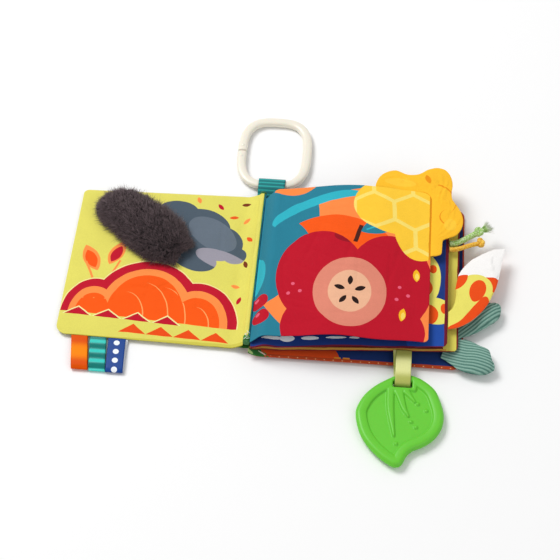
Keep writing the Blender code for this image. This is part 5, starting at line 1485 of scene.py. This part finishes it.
@dataclass
class LeafTeether:
    """The leaf-shaped teether: a plate whose height follows the outline, with veins, dots and a slot."""

    hinge: Array = field(default_factory=lambda: np.array([32.8, -95.6]) * MM)
    width: float = 66.2 * MM
    length: float = 80.9 * MM
    base: float = 1.4 * MM
    thickness: float = 6.6 * MM
    rim: float = 7.6 * MM
    recess: float = 2.1 * MM
    slot_half: float = 7.5 * MM
    slot_near: float = -3.0 * MM
    slot_far: float = -9.2 * MM
    middle: tuple[float, float] = (0.01, 0.462)
    edge: float = 3.4 * MM
    vein_rise: float = 1.75 * MM
    dot_rise: float = 1.3 * MM
    dot_radius: float = 1.7 * MM

    def placed(self, shares: Array) -> Array:
        """Gives places in the plane from shares of the half width and the length."""
        return np.asarray(shares) * (self.width / 2.0, -self.length) + (-1.1 * MM, 3.0 * MM)

    def reach(self, place: Array, line: Array, shut: bool = False) -> Array:
        """Gives the least distance from places to a line of points, less the line's half width there."""
        ends = np.roll(line, -1, axis=0) if shut else line[1:]
        starts = line if shut else line[:-1]
        way = ends - starts
        best = np.full(place.shape[:-1], np.inf)
        for start, step in zip(starts, way):
            t = np.clip(((place - start[:2]) @ step[:2]) / max(step[:2] @ step[:2], 1e-12), 0.0, 1.0)
            gap = np.linalg.norm(place - start[:2] - t[..., None] * step[:2], axis=-1)
            half = start[2] + t * step[2] if len(start) > 2 else 0.0
            best = np.minimum(best, gap - half)
        return best

    def build(self) -> None:
        """Makes the plate as two grids of rings that share their rim, and cuts the slot."""
        closed = TEETHER_OUTLINE_SHARES + TEETHER_OUTLINE_SHARES[:1]
        outline = self.placed(smooth(closed, 301)[:-1])
        middle = self.placed(self.middle)
        in_share = 1.0 - np.linspace(0.0, 1.0, 76) ** 1.5
        in_share[-1] = 0.004
        flat = middle + (outline - middle)[None, :, :] * in_share[:, None, None]
        inside = self.reach(flat, outline, shut=True)
        inside[0] = 0.0
        bottom = self.base + self.thickness * (0.5 - 0.5 * pillow(inside, self.edge))
        top, bottom = (
            np.concatenate([flat + self.hinge, height[..., None]], axis=2)
            for height in (self._top(flat, inside), bottom)
        )
        plate = put_tubes("leaf_teether", np.concatenate([top[::-1], bottom[1:]]))
        self._cut_slot(plate)
        hand_over(plate, "teether", "teether_rubber", (SILICONE,), "teether")

    def _top(self, flat: Array, inside: Array) -> Array:
        """Gives the height of the top: a round edge, a crowned rim, a sunk panel, a collar, veins and dots."""
        full = self.base + self.thickness
        rim = self.base + self.thickness * (0.5 + 0.5 * pillow(inside, self.edge))
        fall = np.clip((inside - 0.55 * self.rim) / (0.45 * self.rim), 0.0, 1.0)
        step = np.clip((inside - self.rim) / (1.1 * MM), 0.0, 1.0)
        crown = rim - 0.5 * MM * fall**2 - (self.recess - 0.5 * MM) * step**2 * (3.0 - 2.0 * step)
        slot_gap = self._slot_gap(flat)
        ragged = 3.2 * MM + 0.7 * MM * np.sin(flat[..., 0] / (1.3 * MM))
        raised = 1.8 * MM * np.clip((ragged - slot_gap) / (1.2 * MM), 0.0, 1.0) ** 0.6
        for vein in TEETHER_VEIN_SHARES:
            line = np.array(vein)
            places = np.concatenate([self.placed(line[:, :2]), line[:, 2:] * self.width / 2.0], axis=1)
            gap = self.reach(flat, smooth(places, 14))
            raised = np.maximum(raised, self.vein_rise * pillow(0.5 * MM - gap, 1.6 * MM))
        for dot in self.placed(TEETHER_DOT_SHARES):
            inward = self.dot_radius - np.linalg.norm(flat - dot, axis=-1)
            raised = np.maximum(raised, self.dot_rise * pillow(inward, self.dot_radius))
        panel = np.minimum(full - self.recess + raised, full + 0.1 * MM)
        height = np.maximum(np.minimum(crown, full), panel)
        return height - 1.0 * MM * (1.0 - pillow(slot_gap, 1.3 * MM))

    def _slot_gap(self, flat: Array) -> Array:
        """Gives the distance to the slot's edge, below zero inside it."""
        centre = (self.slot_near + self.slot_far) / 2.0
        half = np.array([self.slot_half, (self.slot_near - self.slot_far) / 2.0])
        away = np.abs(flat - (0.0, centre)) - half
        return np.linalg.norm(np.maximum(away, 0.0), axis=-1) + np.minimum(away.max(axis=-1), 0.0)

    def _cut_slot(self, plate: Piece) -> None:
        """Cuts the slot with a round-cornered drum."""
        turn, power = circle(64), 0.35
        half = (self.slot_near - self.slot_far) / 2.0
        x = self.hinge[0] + self.slot_half * squared(np.cos(turn), power)
        y = self.hinge[1] + self.slot_near - half + half * squared(np.sin(turn), power)
        heights = np.array([-5.0, 5.0, 20.0])[:, None] * MM
        cutter = put_tubes("slot_cutter", np.stack(np.broadcast_arrays(x, y, heights), axis=2))
        cut = plate.modifiers.new("slot", "BOOLEAN")
        cut.operation = "DIFFERENCE"
        cut.object = cutter
        graph = bpy.context.evaluated_depsgraph_get()
        mesh = bpy.data.meshes.new_from_object(plate.evaluated_get(graph))
        plate.modifiers.clear()
        plate.data = mesh
        bpy.data.objects.remove(cutter)


def form_lines(line: Array, width: Array, rows: Array, across: Array, seam_way: Array | None = None) -> Array:
    """Spreads a middle line sideways by its half widths, the root turned along a seam.

    Args:
        line: Points of the middle line.
        width: Half width at each.
        rows: Shares along, from 0 to 1.
        across: Shares across for each row, -1 to 1 on the form's own half width.
        seam_way: Direction of the seam at the root.

    Returns:
        A grid of points.
    """
    count = 181
    steps = np.linspace(0.0, 1.0, count)
    centre = smooth(line, count)
    ways = unit(np.gradient(centre[:, :2], axis=0))
    sideways = np.stack([-ways[:, 1], ways[:, 0], np.zeros(count)], axis=1)
    if seam_way is not None:
        share = np.clip(1.0 - steps * 9.0 / 4.0, 0.0, 1.0)[:, None] ** 0.7
        sideways = unit(sideways * (1.0 - share) + seam_way * share)
    half = np.interp(rows, steps, smooth(width, count))[:, None, None]
    centre, sideways = (read(rows, steps, part)[:, None, :] for part in (centre, sideways))
    return centre + sideways * half * across[..., None]


@dataclass
class StuffedForm:
    """A flap or sprout sewn from two cloths over a stuffing, in the frame of the part."""

    name: str
    root: Array
    line: Array
    width: Array
    half: Array
    finishes: tuple[Finish, ...]
    slot: str
    inside: str
    seam_way: Array | None = None
    rib: float = 0.0
    rib_pitch: float = 2.6 * MM
    crease: float = 0.25 * MM
    tip: tuple[tuple[float, float], tuple[float, float]] = ((0.0, 0.0), (0.0, 0.0))
    tip_start: float = 0.6
    tip_round: float = 0.0
    sides: tuple[tuple[float, ...], tuple[float, ...]] = ((1.0,), (1.0,))
    columns: int = 19
    rows: int = 26
    times: int = 5
    pressure: float = 3.0
    seed: int = 7

    def sewn(self) -> SewnForm:
        """Gives the cover's form, with closer stations at its ends."""
        turn = np.linspace(0.0, math.pi, self.rows)
        stations = 0.5 - 0.5 * np.cos(turn)
        stations = 0.5 * stations + 0.5 * np.linspace(0.0, 1.0, self.rows)
        across = -np.cos(np.linspace(0.0, math.pi, self.columns))
        return SewnForm(
            self.name, stations, across, self.shape, times=self.times, pressure=self.pressure,
            crease=self.crease,
            crease_pitch=9.0 * MM, crease_run=5.0 * MM, seed=self.seed, slack=0.75, least=0.64, drift=0.7 * MM,
        )

    def shape(self, rows: Array, across: Array) -> tuple[Array, Array]:
        """Gives the two cloths: the half thickness rounds over from a flat seam as an ellipse."""
        fuller = [np.interp(rows, np.linspace(0.0, 1.0, 6)[: len(side)], side) for side in self.sides]
        spread = across[None, :] * np.where(across[None, :] > 0.0, fuller[1][:, None], fuller[0][:, None])
        points = form_lines(self.line, self.width, rows, spread, self.seam_way) + self.root
        late = np.clip((rows - self.tip_start) / (1.0 - self.tip_start), 0.0, 1.0)[:, None, None] ** 2
        low, high = np.array(self.tip)
        points[..., :2] += late * (low + (high - low) * (across[None, :, None] + 1.0) / 2.0)
        chord = (self.line[-1] - self.line[0])[:2]
        points[..., :2] -= late * self.tip_round * across[None, :, None] ** 2 * chord / np.linalg.norm(chord)
        round_over = np.sqrt(np.clip(1.0 - (across / 0.97) ** 2, 0.0, 1.0))
        swollen = np.interp(rows, np.linspace(0.0, 1.0, 181), smooth(self.half, 181))[:, None] - SEAM_HALF
        crown = SEAM_HALF + np.maximum(swollen, 0.0) * round_over
        return puffed(points, crown)

    def dress(self, sewn: SewnForm) -> None:
        """Makes the cover and its stuffing.

        Args:
            sewn: The cover's form after its simulation.
        """
        front, back = sewn.fine()
        middle = (front + back) / 2.0
        spine = middle[:, middle.shape[1] // 2]
        chord = unit(spine[-1] - spine[0])
        if self.rib:
            across = (middle - spine[:1]) @ np.array([-chord[1], chord[0], 0.0])
            uv = np.stack([across, (middle - spine[:1]) @ chord], axis=2)
            wave = 0.5 + 0.5 * np.cos(TURN * across / self.rib_pitch + math.pi)
            dip = np.minimum(self.rib * (1.0 - wave**0.7), 0.3 * np.linalg.norm(front - middle, axis=2))
            front[..., 2] -= dip
            back[..., 2] += dip
        else:
            side = np.sign(np.arange(middle.shape[1]) - middle.shape[1] // 2)
            across = np.linalg.norm(middle - spine[:, None, :], axis=2) * side
            uv = np.stack(np.broadcast_arrays(across, arc_lengths(spine)[:, None]), axis=2)
        cover = put_sewn(f"{self.name}_sewn_cover", front, back, uv, len(self.finishes) > 1)
        hand_over(
            cover, self.name, self.slot, self.finishes, f"{self.name}_front_cloth", f"{self.name}_back_cloth"
        )
        across = -np.cos(np.linspace(0.0, math.pi, 25))
        top, bottom = self.shape(np.linspace(0.42, 0.78, 36), 0.62 * across)
        middle = (top + bottom) / 2.0
        ends = np.sin(np.linspace(0.0, math.pi, 36))[:, None] ** 0.4
        shrink = 0.38 * (np.sqrt(1.0 - across**2) * ends)[..., None]
        filling = put_sewn(
            f"{self.name}_fibre_fill", middle + (top - middle) * shrink, middle + (bottom - middle) * shrink
        )
        hand_over(filling, self.name, "wadding", (WADDING,), f"{self.name}_{self.inside}")


def straight(length: float, angle: float, lift: float) -> Array:
    """Gives a straight middle line at an angle in the level plane, which climbs by a lift."""
    share = np.array([0.0, 0.17, 0.38, 0.62, 0.84, 1.0])
    turn = math.radians(angle)
    return np.stack([share * length * math.cos(turn), share * length * math.sin(turn), share * lift], axis=1)


def stuffed_forms() -> list[StuffedForm]:
    """Gives the tail flap and the two sprouts."""
    tail_line = np.array((
        (0.0, 0.0, 0.0), (0.145, 0.065, 0.06), (0.34, 0.26, 0.25), (0.547, 0.528, 0.375),
        (0.754, 0.772, 0.625),
        (1.0, 1.0, 1.0),
    )) * (38.6 * MM, 61.5 * MM, -1.6 * MM) - (0.0, 0.0, 0.7 * MM)
    sprout_half = np.array((0.12, 0.12, 0.43, 1.0, 0.93, 0.43))
    return [
        StuffedForm(
            "tail_flap", np.array([65.9, -38.5, 16.3]) * MM, tail_line,
            np.array((0.62, 0.79, 0.97, 1.0, 0.82, 0.53)) * 17.0 * MM,
            np.array((0.21, 0.55, 0.9, 1.0, 0.86, 0.24)) * 2.9 * MM,
            (TAIL_PRINT, PEACH_CLOTH), "yellow_cloth", "wadding", seam_way=np.array([0.0, 1.0, 0.0]), seed=11,
            tip=((-0.9 * MM, 13.0 * MM), (5.5 * MM, 1.5 * MM)),
            sides=((1.45, 1.2, 1.06, 1.0, 1.0, 1.0), (0.1, 0.32, 0.56, 0.86, 1.0, 1.0)),
        ),
        StuffedForm(
            "sprout_upper", np.array([63.5, -60.5, 6.6]) * MM, straight(59.9 * MM, 42.0, 0.3 * MM),
            np.array((0.33, 0.44, 0.81, 1.0, 0.96, 0.58)) * 9.6 * MM, sprout_half * 5.0 * MM, (CORDUROY,),
            "sage_corduroy", "stuffing", rib=0.5 * MM, columns=25, seed=12, tip=((-1.0 * MM, -1.0 * MM),) * 2,
            tip_round=3.5 * MM,
        ),
        StuffedForm(
            "sprout_lower", np.array([63.0, -68.4, 6.6]) * MM, straight(42.7 * MM, -13.5, 0.3 * MM),
            np.array((0.5, 0.7, 0.98, 1.02, 0.9, 0.5)) * 13.2 * MM, sprout_half * 5.2 * MM, (CORDUROY,),
            "sage_corduroy", "stuffing", rib=0.5 * MM, columns=31, seed=13,
            tip=((1.5 * MM, 0.5 * MM), (-5.0 * MM, -1.5 * MM)), tip_round=2.0 * MM,
            sides=((1.0,), (1.5, 1.45, 1.2, 1.0, 1.0, 1.0)),
        ),
    ]


BORDER_OUTER_SHARES = (
    (-1.0, 0.05), (-0.966, 0.36), (-0.87, 0.62), (-0.69, 0.78), (-0.55, 0.72), (-0.43, 0.64), (-0.23, 0.7),
    (-0.11, 0.87), (0.1, 0.98), (0.4, 0.92), (0.6, 0.66), (0.66, 0.31), (0.63, -0.02), (0.73, -0.14),
    (0.92, -0.26), (1.02, -0.41), (0.96, -0.56), (0.75, -0.67), (0.42, -0.73), (0.36, -0.81), (0.34, -0.95),
    (0.17, -0.99), (0.05, -1.0),
)


@dataclass
class CornerBorder:
    """The scalloped padded border sewn along both edges of leaf A's outer corner."""

    leaf: LeafForm = LEAVES[3]
    run: Array = field(default_factory=lambda: np.array([47.5, 66.5]) * MM)
    reach: Array = field(default_factory=lambda: np.array([25.0, 27.8]) * MM)
    half: float = 2.2 * MM
    ramp: float = 8.0 * MM
    end_ramp: float = 10.0 * MM
    rise: float = 0.55 * MM
    seam_gap: float = -0.3 * MM

    def sewn(self) -> SewnForm:
        """Gives the border's form."""
        rows = np.linspace(0.0, 1.0, 54)
        return SewnForm(
            "corner_border", rows, np.array([0.0, 0.05, 0.15, 0.3, 0.5, 0.7, 0.85, 0.95, 1.0]), self.shape,
            times=5,
            crease=1.15 * MM, crease_pitch=15.0 * MM, crease_run=13.0 * MM, seed=21, slack=0.75,
            drift=0.5 * MM,
        )

    def shape(self, rows: Array, across: Array) -> tuple[Array, Array]:
        """Gives the two cloths between the leaf's edge and the scalloped line."""
        corner = np.array([self.leaf.reach, self.leaf.high])
        count = 35
        scallops = smooth(smooth(BORDER_OUTER_SHARES, count), 8 * (count - 1) + 1)
        shares = read(rows, np.linspace(0.0, 1.0, len(scallops)), scallops)
        outer = corner + shares * np.where(shares > 0.0, self.reach, self.run)
        centre = corner - CORNER_RADIUS
        away = unit(np.maximum(outer - centre, 0.0))
        inner = np.minimum(outer, centre) + away * (CORNER_RADIUS + self.seam_gap)
        flat = inner[:, None, :] + (outer - inner)[:, None, :] * across[None, :, None]
        level = np.full(flat.shape[:2] + (1,), self.leaf.middle + self.rise - SPINE[2])
        reach = np.linalg.norm(outer - inner, axis=1)[:, None]
        along = arc_lengths((inner + outer) / 2.0)
        ends = pillow(np.minimum(along, along[-1] - along), self.end_ramp)[:, None]
        inside = np.minimum(across, 1.0 - across) * reach
        crown = SEAM_HALF + (self.half - SEAM_HALF) * ends * pillow(inside, self.ramp)
        return puffed(np.concatenate([flat, level], axis=2) + SPINE, crown)

    def dress(self, sewn: SewnForm) -> None:
        """Makes the border's cover and the film inside it.

        Args:
            sewn: The border's form after its simulation.
        """
        cover = put_sewn("corner_border_sewn_cover", *sewn.fine())
        hand_over(
            cover, "leaf_a", "gold_cloth", (GOLDEN_CLOTH,), "corner_border_front_cloth",
            "corner_border_back_cloth",
        )
        top, bottom = self.shape(np.linspace(0.14, 0.86, 90), np.linspace(0.22, 0.78, 12))
        film = 0.65 * top + 0.35 * bottom
        film[..., 2] += 0.15 * MM * np.abs(np.sin(np.arange(90)[:, None] * 1.9 + np.arange(12)))
        sheet = put_sheet("corner_border_crackle_film", film, FILM_THICKNESS)
        hand_over(sheet, "leaf_a", "crinkle_film", (CRINKLE_FILM,), "corner_border_film")


@dataclass
class PlushFlap:
    """The plush flap: a cloth backing, a domed ground and thousands of tapered hairs."""

    root: Array = field(default_factory=lambda: np.array([-150.8, 11.2, 6.5]) * MM)
    length: float = 85.2 * MM
    angle: float = 145.5
    half_width: float = 21.5 * MM
    pile: float = 12.2 * MM
    backing: float = 0.55 * MM
    hairs: int = 19500
    hair_length: float = 8.6 * MM
    hair_widths: tuple[float, ...] = (0.3, 0.86, 0.99, 0.96, 0.93, 0.93)
    low_side: tuple[float, ...] = (1.7, 1.14, 0.95, 0.8, 0.8, 0.85)
    bend_before: float = 7.0 * MM
    bend_after: float = 12.0 * MM
    cap: float = 0.76
    fringe_share: float = 0.07
    hair_radius: float = 0.2 * MM
    widths: tuple[float, ...] = (0.6, 0.88, 1.0, 0.91, 0.63, 0.23)
    piles: tuple[float, ...] = (0.41, 0.82, 1.0, 0.95, 0.77, 0.45)
    places: tuple[float, ...] = (0.0, 0.2, 0.43, 0.66, 0.857, 1.0)

    @property
    def floor(self) -> float:
        """Height of the top of the backing, on which the pile stands."""
        return self.root[2] + self.backing + PIECE_GAP

    @property
    def bend(self) -> tuple[str, Array, Array]:
        """What the flap is sewn to, and where its bend starts and ends."""
        way = heading(self.angle)[0]
        return "front_cover", self.root - self.bend_before * way, self.root + self.bend_after * way

    def dome(self, rows: Array, across: Array) -> Array:
        """Gives the top of the pile: an ellipse across whose height follows the pile along the flap."""
        way, sideways = heading(self.angle)
        steps = np.linspace(0.0, 1.0, 121)
        place, width, pile = (
            np.interp(rows, steps, smooth(values, 121)) for values in (self.places, self.widths, self.piles)
        )
        low_side = np.minimum(np.interp(rows, self.places, self.low_side), 1.0)
        side = self.half_width * width[:, None] * across * np.where(across > 0.0, low_side[:, None], 1.0)
        points = self.root + (place * self.length)[:, None, None] * way + side[..., None] * sideways
        height = pile[:, None] * self.pile * (0.12 + 0.88 * np.sqrt(np.clip(1.0 - across**2, 0.0, 1.0)))
        points[..., 2] = self.floor + height
        return points

    def build(self) -> None:
        """Makes the backing, the ground and the hairs."""
        across = np.sin(np.linspace(-math.pi / 2.0, math.pi / 2.0, 41))
        top = self.dome(np.linspace(0.0, 1.0, 90), across)
        ground, under = top.copy(), top.copy()
        ground[..., 2] = 0.5 * (self.floor + top[..., 2])
        under[..., 2] = self.floor
        for grid in (ground, under):
            grid[[0, -1], :, 2] = self.floor + 0.3 * MM
            grid[:, [0, -1], 2] = self.floor + 0.3 * MM
        pad = put_sewn("fur_flap_ground", ground, under)
        hand_over(pad, "fur_flap", "plush", (PLUSH_GROUND,), "fur_flap_pile", bend=self.bend)
        backing = top.copy()
        middle = top[:, 20:21, :2]
        backing[..., :2] = middle + 0.97 * (top[..., :2] - middle)
        backing[..., 2] = self.root[2] + 0.5 * MM
        cloth = put_sewn("fur_flap_backing_cloth", backing, backing - (0.0, 0.0, 0.4 * MM))
        hand_over(cloth, "fur_flap", "plush", (PLUSH_GROUND,), "fur_flap_backing", bend=self.bend)
        self._hairs()

    def _hairs(self) -> None:
        """Makes the hairs: each is a three-sided spike with one bend, combed towards the tip of the flap."""
        source = np.random.default_rng(5)
        fringe = source.uniform(size=self.hairs) < self.fringe_share
        rows = np.where(fringe, source.uniform(0.0, 0.07, self.hairs), source.uniform(0.0, 1.0, self.hairs))
        across = np.sin(source.uniform(-math.pi / 2.0, math.pi / 2.0, self.hairs))
        place, width, pile, low_side = (
            np.interp(rows, self.places, values)
            for values in (self.places, self.hair_widths, self.piles, self.low_side)
        )
        width = width * np.sqrt(1.0 - np.clip((rows - self.cap) / (1.0 - self.cap), 0.0, 1.0) ** 2)
        way, sideways = heading(self.angle)
        up = np.array([0.0, 0.0, 1.0])
        bulge = np.sqrt(np.clip(1.0 - across**2, 0.0, 1.0))
        start = self.root + (place * self.length)[:, None] * way
        side = np.where(across > 0.0, low_side, 1.0)
        start += (0.95 * width * across * side * self.half_width)[:, None] * sideways
        rise = 0.5 * pile * self.pile * (0.1 + 0.9 * bulge)
        start[:, 2] = self.floor + rise * source.uniform(0.7, 1.0, self.hairs)
        lean = np.where(fringe, -1.0, 1.15 * rows**1.6 + 0.2 - 1.1 * np.exp(-rows / 0.06))
        grow = lean[:, None] * way + (1.05 * across)[:, None] * sideways + (0.2 + 0.75 * bulge)[:, None] * up
        grow = unit(grow + 0.36 * source.normal(size=grow.shape))
        stray = np.where(source.uniform(size=self.hairs) < 0.14, 1.4, 1.0)
        size = (self.hair_length * (0.6 + 0.4 * pile) * source.uniform(0.6, 1.0, self.hairs) * stray)[:, None]
        clump = np.sin(start[:, :1] / (2.3 * MM) + 1.4 * np.sin(start[:, 1:2] / (3.1 * MM)))
        clump = 0.3 * clump * np.sin(start[:, 1:2] / (2.0 * MM))
        curl = np.concatenate([clump, -clump, -0.35 * np.ones_like(clump)], axis=1)
        bend = start + 0.55 * size * grow
        tip = bend + 0.5 * size * (grow + curl + 0.28 * source.normal(size=grow.shape))
        bend[:, 2] = np.maximum(bend[:, 2], self.floor)
        tip[:, 2] = np.maximum(tip[:, 2], self.floor - 0.1 * MM)
        piece = spikes("fur_flap_hairs", start, bend, tip, self.hair_radius, source)
        hand_over(piece, "fur_flap", "plush", (PLUSH,), bend=self.bend)


# Free cords: places along each, given in millimetres out from leaf B's edge, along Y and over its
# middle surface
GREEN_ROUTE = ((0.45, 30.9, 0.0), (5.1, 31.4, 0.1), (10.5, 34.2, 0.5), (16.0, 38.0, 0.8), (20.9, 41.6, 0.9))
YELLOW_ROUTE = (
    (0.45, 24.6, 0.0), (5.3, 25.1, -0.1), (11.5, 27.8, -0.3), (17.5, 30.8, -0.5), (22.7, 32.8, -0.6),
)


@dataclass
class FreeCord:
    """A short braided cord that ends in an overhand knot, and in a frayed tuft where it has one."""

    name: str
    route: tuple[tuple[float, float, float], ...]
    radius: float
    finish: Finish
    slot: str
    tuft: bool
    knot_reach: float
    knot_share: float = 3.1
    tuft_strands: int = 220
    tuft_length: float = 8.4 * MM
    tuft_radius: float = 0.34 * MM

    def build(self) -> None:
        """Makes the cord, its knot and its tuft."""
        leaf = LEAVES[2]
        path = smooth(np.array(self.route) * MM + (SPINE[0] + leaf.reach, 0.0, leaf.middle), 90)
        way = unit(path[-1] - path[-2])
        knot_length = self.radius * self.knot_share
        inside = np.linspace(0.0, 1.0, 24)[1:, None] * way * (knot_length + PIECE_GAP)
        whole = np.concatenate([path, path[-1] + inside])
        arc = arc_lengths(whole)
        even = np.linspace(0.0, arc[-1], 220)
        line = read(even, arc, whole)
        turn = circle(48)
        phase = TURN * even[:, None] / (3.2 * self.radius)
        braid = np.maximum(np.abs(np.sin(3.0 * turn + phase)), np.abs(np.sin(3.0 * turn - phase)))
        thin = np.where(even > arc[-1] - 0.8 * knot_length, 0.62, 1.0)[:, None]
        uv = np.stack(np.broadcast_arrays(turn * self.radius, even[:, None]), axis=2)
        rounds = round_tube(line, self.radius * thin * (0.9 + 0.1 * braid), len(turn))
        cord = put_tubes(f"{self.name}_braid", rounds, uv=uv)
        hand_over(cord, "leaf_b", self.slot, (self.finish,), self.name)
        cross = unit(np.cross(way, (0.0, 0.0, 1.0)))
        ways = np.stack([cross, np.cross(cross, way), way])
        pieces = [self._knot(path[-1] + way * (PIECE_GAP + knot_length / 2.0), ways, knot_length)]
        if self.tuft:
            pieces.append(self._tuft(path[-1] + way * (knot_length + 1.5 * PIECE_GAP), ways))

    def _knot(self, place: Array, ways: Array, length: float) -> Piece:
        """Makes the knot: a tube along a trefoil, whose three lobes lie round the cord."""
        turn = circle(240)
        lobes = np.stack(
            (np.sin(turn) + 2.0 * np.sin(2.0 * turn), np.cos(turn) - 2.0 * np.cos(2.0 * turn),
             -np.sin(3.0 * turn)),
            axis=1,
        )
        strand = 0.42 * self.knot_reach
        lobe = (self.knot_reach - 0.8 * strand) / 3.0
        path = place + lobes * (lobe, lobe, max(length / 2.0 - strand, 0.6 * strand)) @ ways
        along = unit(np.roll(path, -1, axis=0) - np.roll(path, 1, axis=0))
        side = path - place
        side = unit(side - np.sum(side * along, axis=1, keepdims=True) * along)
        around = circle(20)
        radius = strand * (0.9 + 0.1 * np.abs(np.sin(3.0 * around + 14.0 * turn[:, None])))
        points = rings(path, side, np.cross(along, side), radius * np.cos(around), radius * np.sin(around))
        index = np.pad(np.arange(points[..., 0].size).reshape(points.shape[:2]), ((0, 1), (0, 1)), "wrap")
        flat = points.reshape(-1, 3)
        knot = put_mesh(f"{self.name}_overhand_knot", flat, outward(flat, quads(index)))
        return hand_over(knot, "leaf_b", self.slot, (self.finish,), f"{self.name}_knot")

    def _tuft(self, place: Array, ways: Array) -> Piece:
        """Makes the frayed end: thin strands that spread in a flat fan."""
        source = np.random.default_rng(9)
        across, over, way = ways
        spread, rise = (source.uniform(-1.0, 1.0, self.tuft_strands)[:, None] for _ in range(2))
        start = place + 0.7 * self.radius * spread * across + 0.5 * self.radius * rise * over
        size = self.tuft_length * source.uniform(0.62, 1.0, self.tuft_strands)[:, None]
        grow = way + 0.42 * spread * across + 0.22 * rise * over
        bend = start + 0.5 * size * grow
        tip = bend + 0.5 * size * (grow + 0.35 * source.normal(size=grow.shape))
        piece = spikes(f"{self.name}_frayed_tuft", start, bend, tip, self.tuft_radius, source)
        return hand_over(piece, "leaf_b", self.slot, (GREEN_TUFT,), f"{self.name}_tuft")


class Studio:
    """A pale floor, soft light and the camera of the photograph."""

    azimuth = 4.73
    elevation = 53.31
    distance = 1218.05 * MM
    focus_pixels = 1500.0
    frame_pixels = 560.0
    sensor = 36.0
    target = Vector((-69.46 * MM, -5.19 * MM, 0.0))

    def build(self) -> None:
        """Makes the camera, the lights and the floor."""
        scene = bpy.context.scene
        scene.view_settings.view_transform = "Standard"
        camera = bpy.data.objects.new("camera", bpy.data.cameras.new("camera"))
        scene.collection.objects.link(camera)
        turn, rise = math.radians(self.azimuth), math.radians(self.elevation)
        back = Vector((math.sin(turn) * math.cos(rise), -math.cos(turn) * math.cos(rise), math.sin(rise)))
        camera.location = self.target + back * self.distance
        camera.rotation_mode = "QUATERNION"
        camera.rotation_quaternion = (-back).to_track_quat("-Z", "Y")
        camera.data.sensor_width = self.sensor
        camera.data.lens = self.sensor * self.focus_pixels / self.frame_pixels
        scene.camera = camera
        self._lamp("key", (-1.5, 1.0, 2.3), 1.3, 55.0)
        self._lamp("fill", (1.6, -1.6, 1.8), 2.0, 13.0)
        world = bpy.data.worlds.new("studio")
        world.use_nodes = True
        world.node_tree.nodes["Background"].inputs["Color"].default_value = linear("#FFFFFF")
        world.node_tree.nodes["Background"].inputs["Strength"].default_value = 0.48
        scene.world = world
        size = 6.0
        corners = np.array([(-size, -size, 0.0), (size, -size, 0.0), (size, size, 0.0), (-size, size, 0.0)])
        floor = put_mesh("studio_floor", corners, np.array([[0, 1, 2, 3]]))
        floor.data.materials.append(Finish("studio_paper", "#FAFAFA", 0.9, mottle=0.004).material())

    def _lamp(self, name: str, place: tuple[float, float, float], size: float, power: float) -> None:
        """Makes a square soft light that faces the book."""
        lamp = bpy.data.lights.new(name, "AREA")
        lamp.size = size
        lamp.energy = power
        holder = bpy.data.objects.new(name, lamp)
        holder.location = place
        holder.rotation_mode = "QUATERNION"
        holder.rotation_quaternion = (self.target - Vector(place)).to_track_quat("-Z", "Y")
        bpy.context.scene.collection.objects.link(holder)


def main() -> None:
    """Builds the book, class by class, and reports each piece."""
    logging.basicConfig(level=logging.INFO, format="%(name)s: %(message)s")
    Studio().build()
    FreeCord("green_cord", GREEN_ROUTE, 2.4 * MM, GREEN_YARN, "green_cord_yarn", True, 4.1 * MM).build()
    FreeCord("yellow_cord", YELLOW_ROUTE, 1.9 * MM, YELLOW_YARN, "yellow_cord_yarn", False, 4.3 * MM).build()
    makers = [PaddedLeaf(form, seed) for seed, form in enumerate(LEAVES, 1)]
    makers += [*stuffed_forms(), CornerBorder()]
    forms = [maker.sewn() for maker in makers]
    swell(forms)
    for maker, form in zip(makers, forms):
        maker.dress(form)
    Spine().build()
    PlushFlap().build()
    HangingRing().build()
    LeafTeether().build()
    for ribbon in ribbon_loops():
        ribbon.build()


if __name__ == "__main__":
    main()
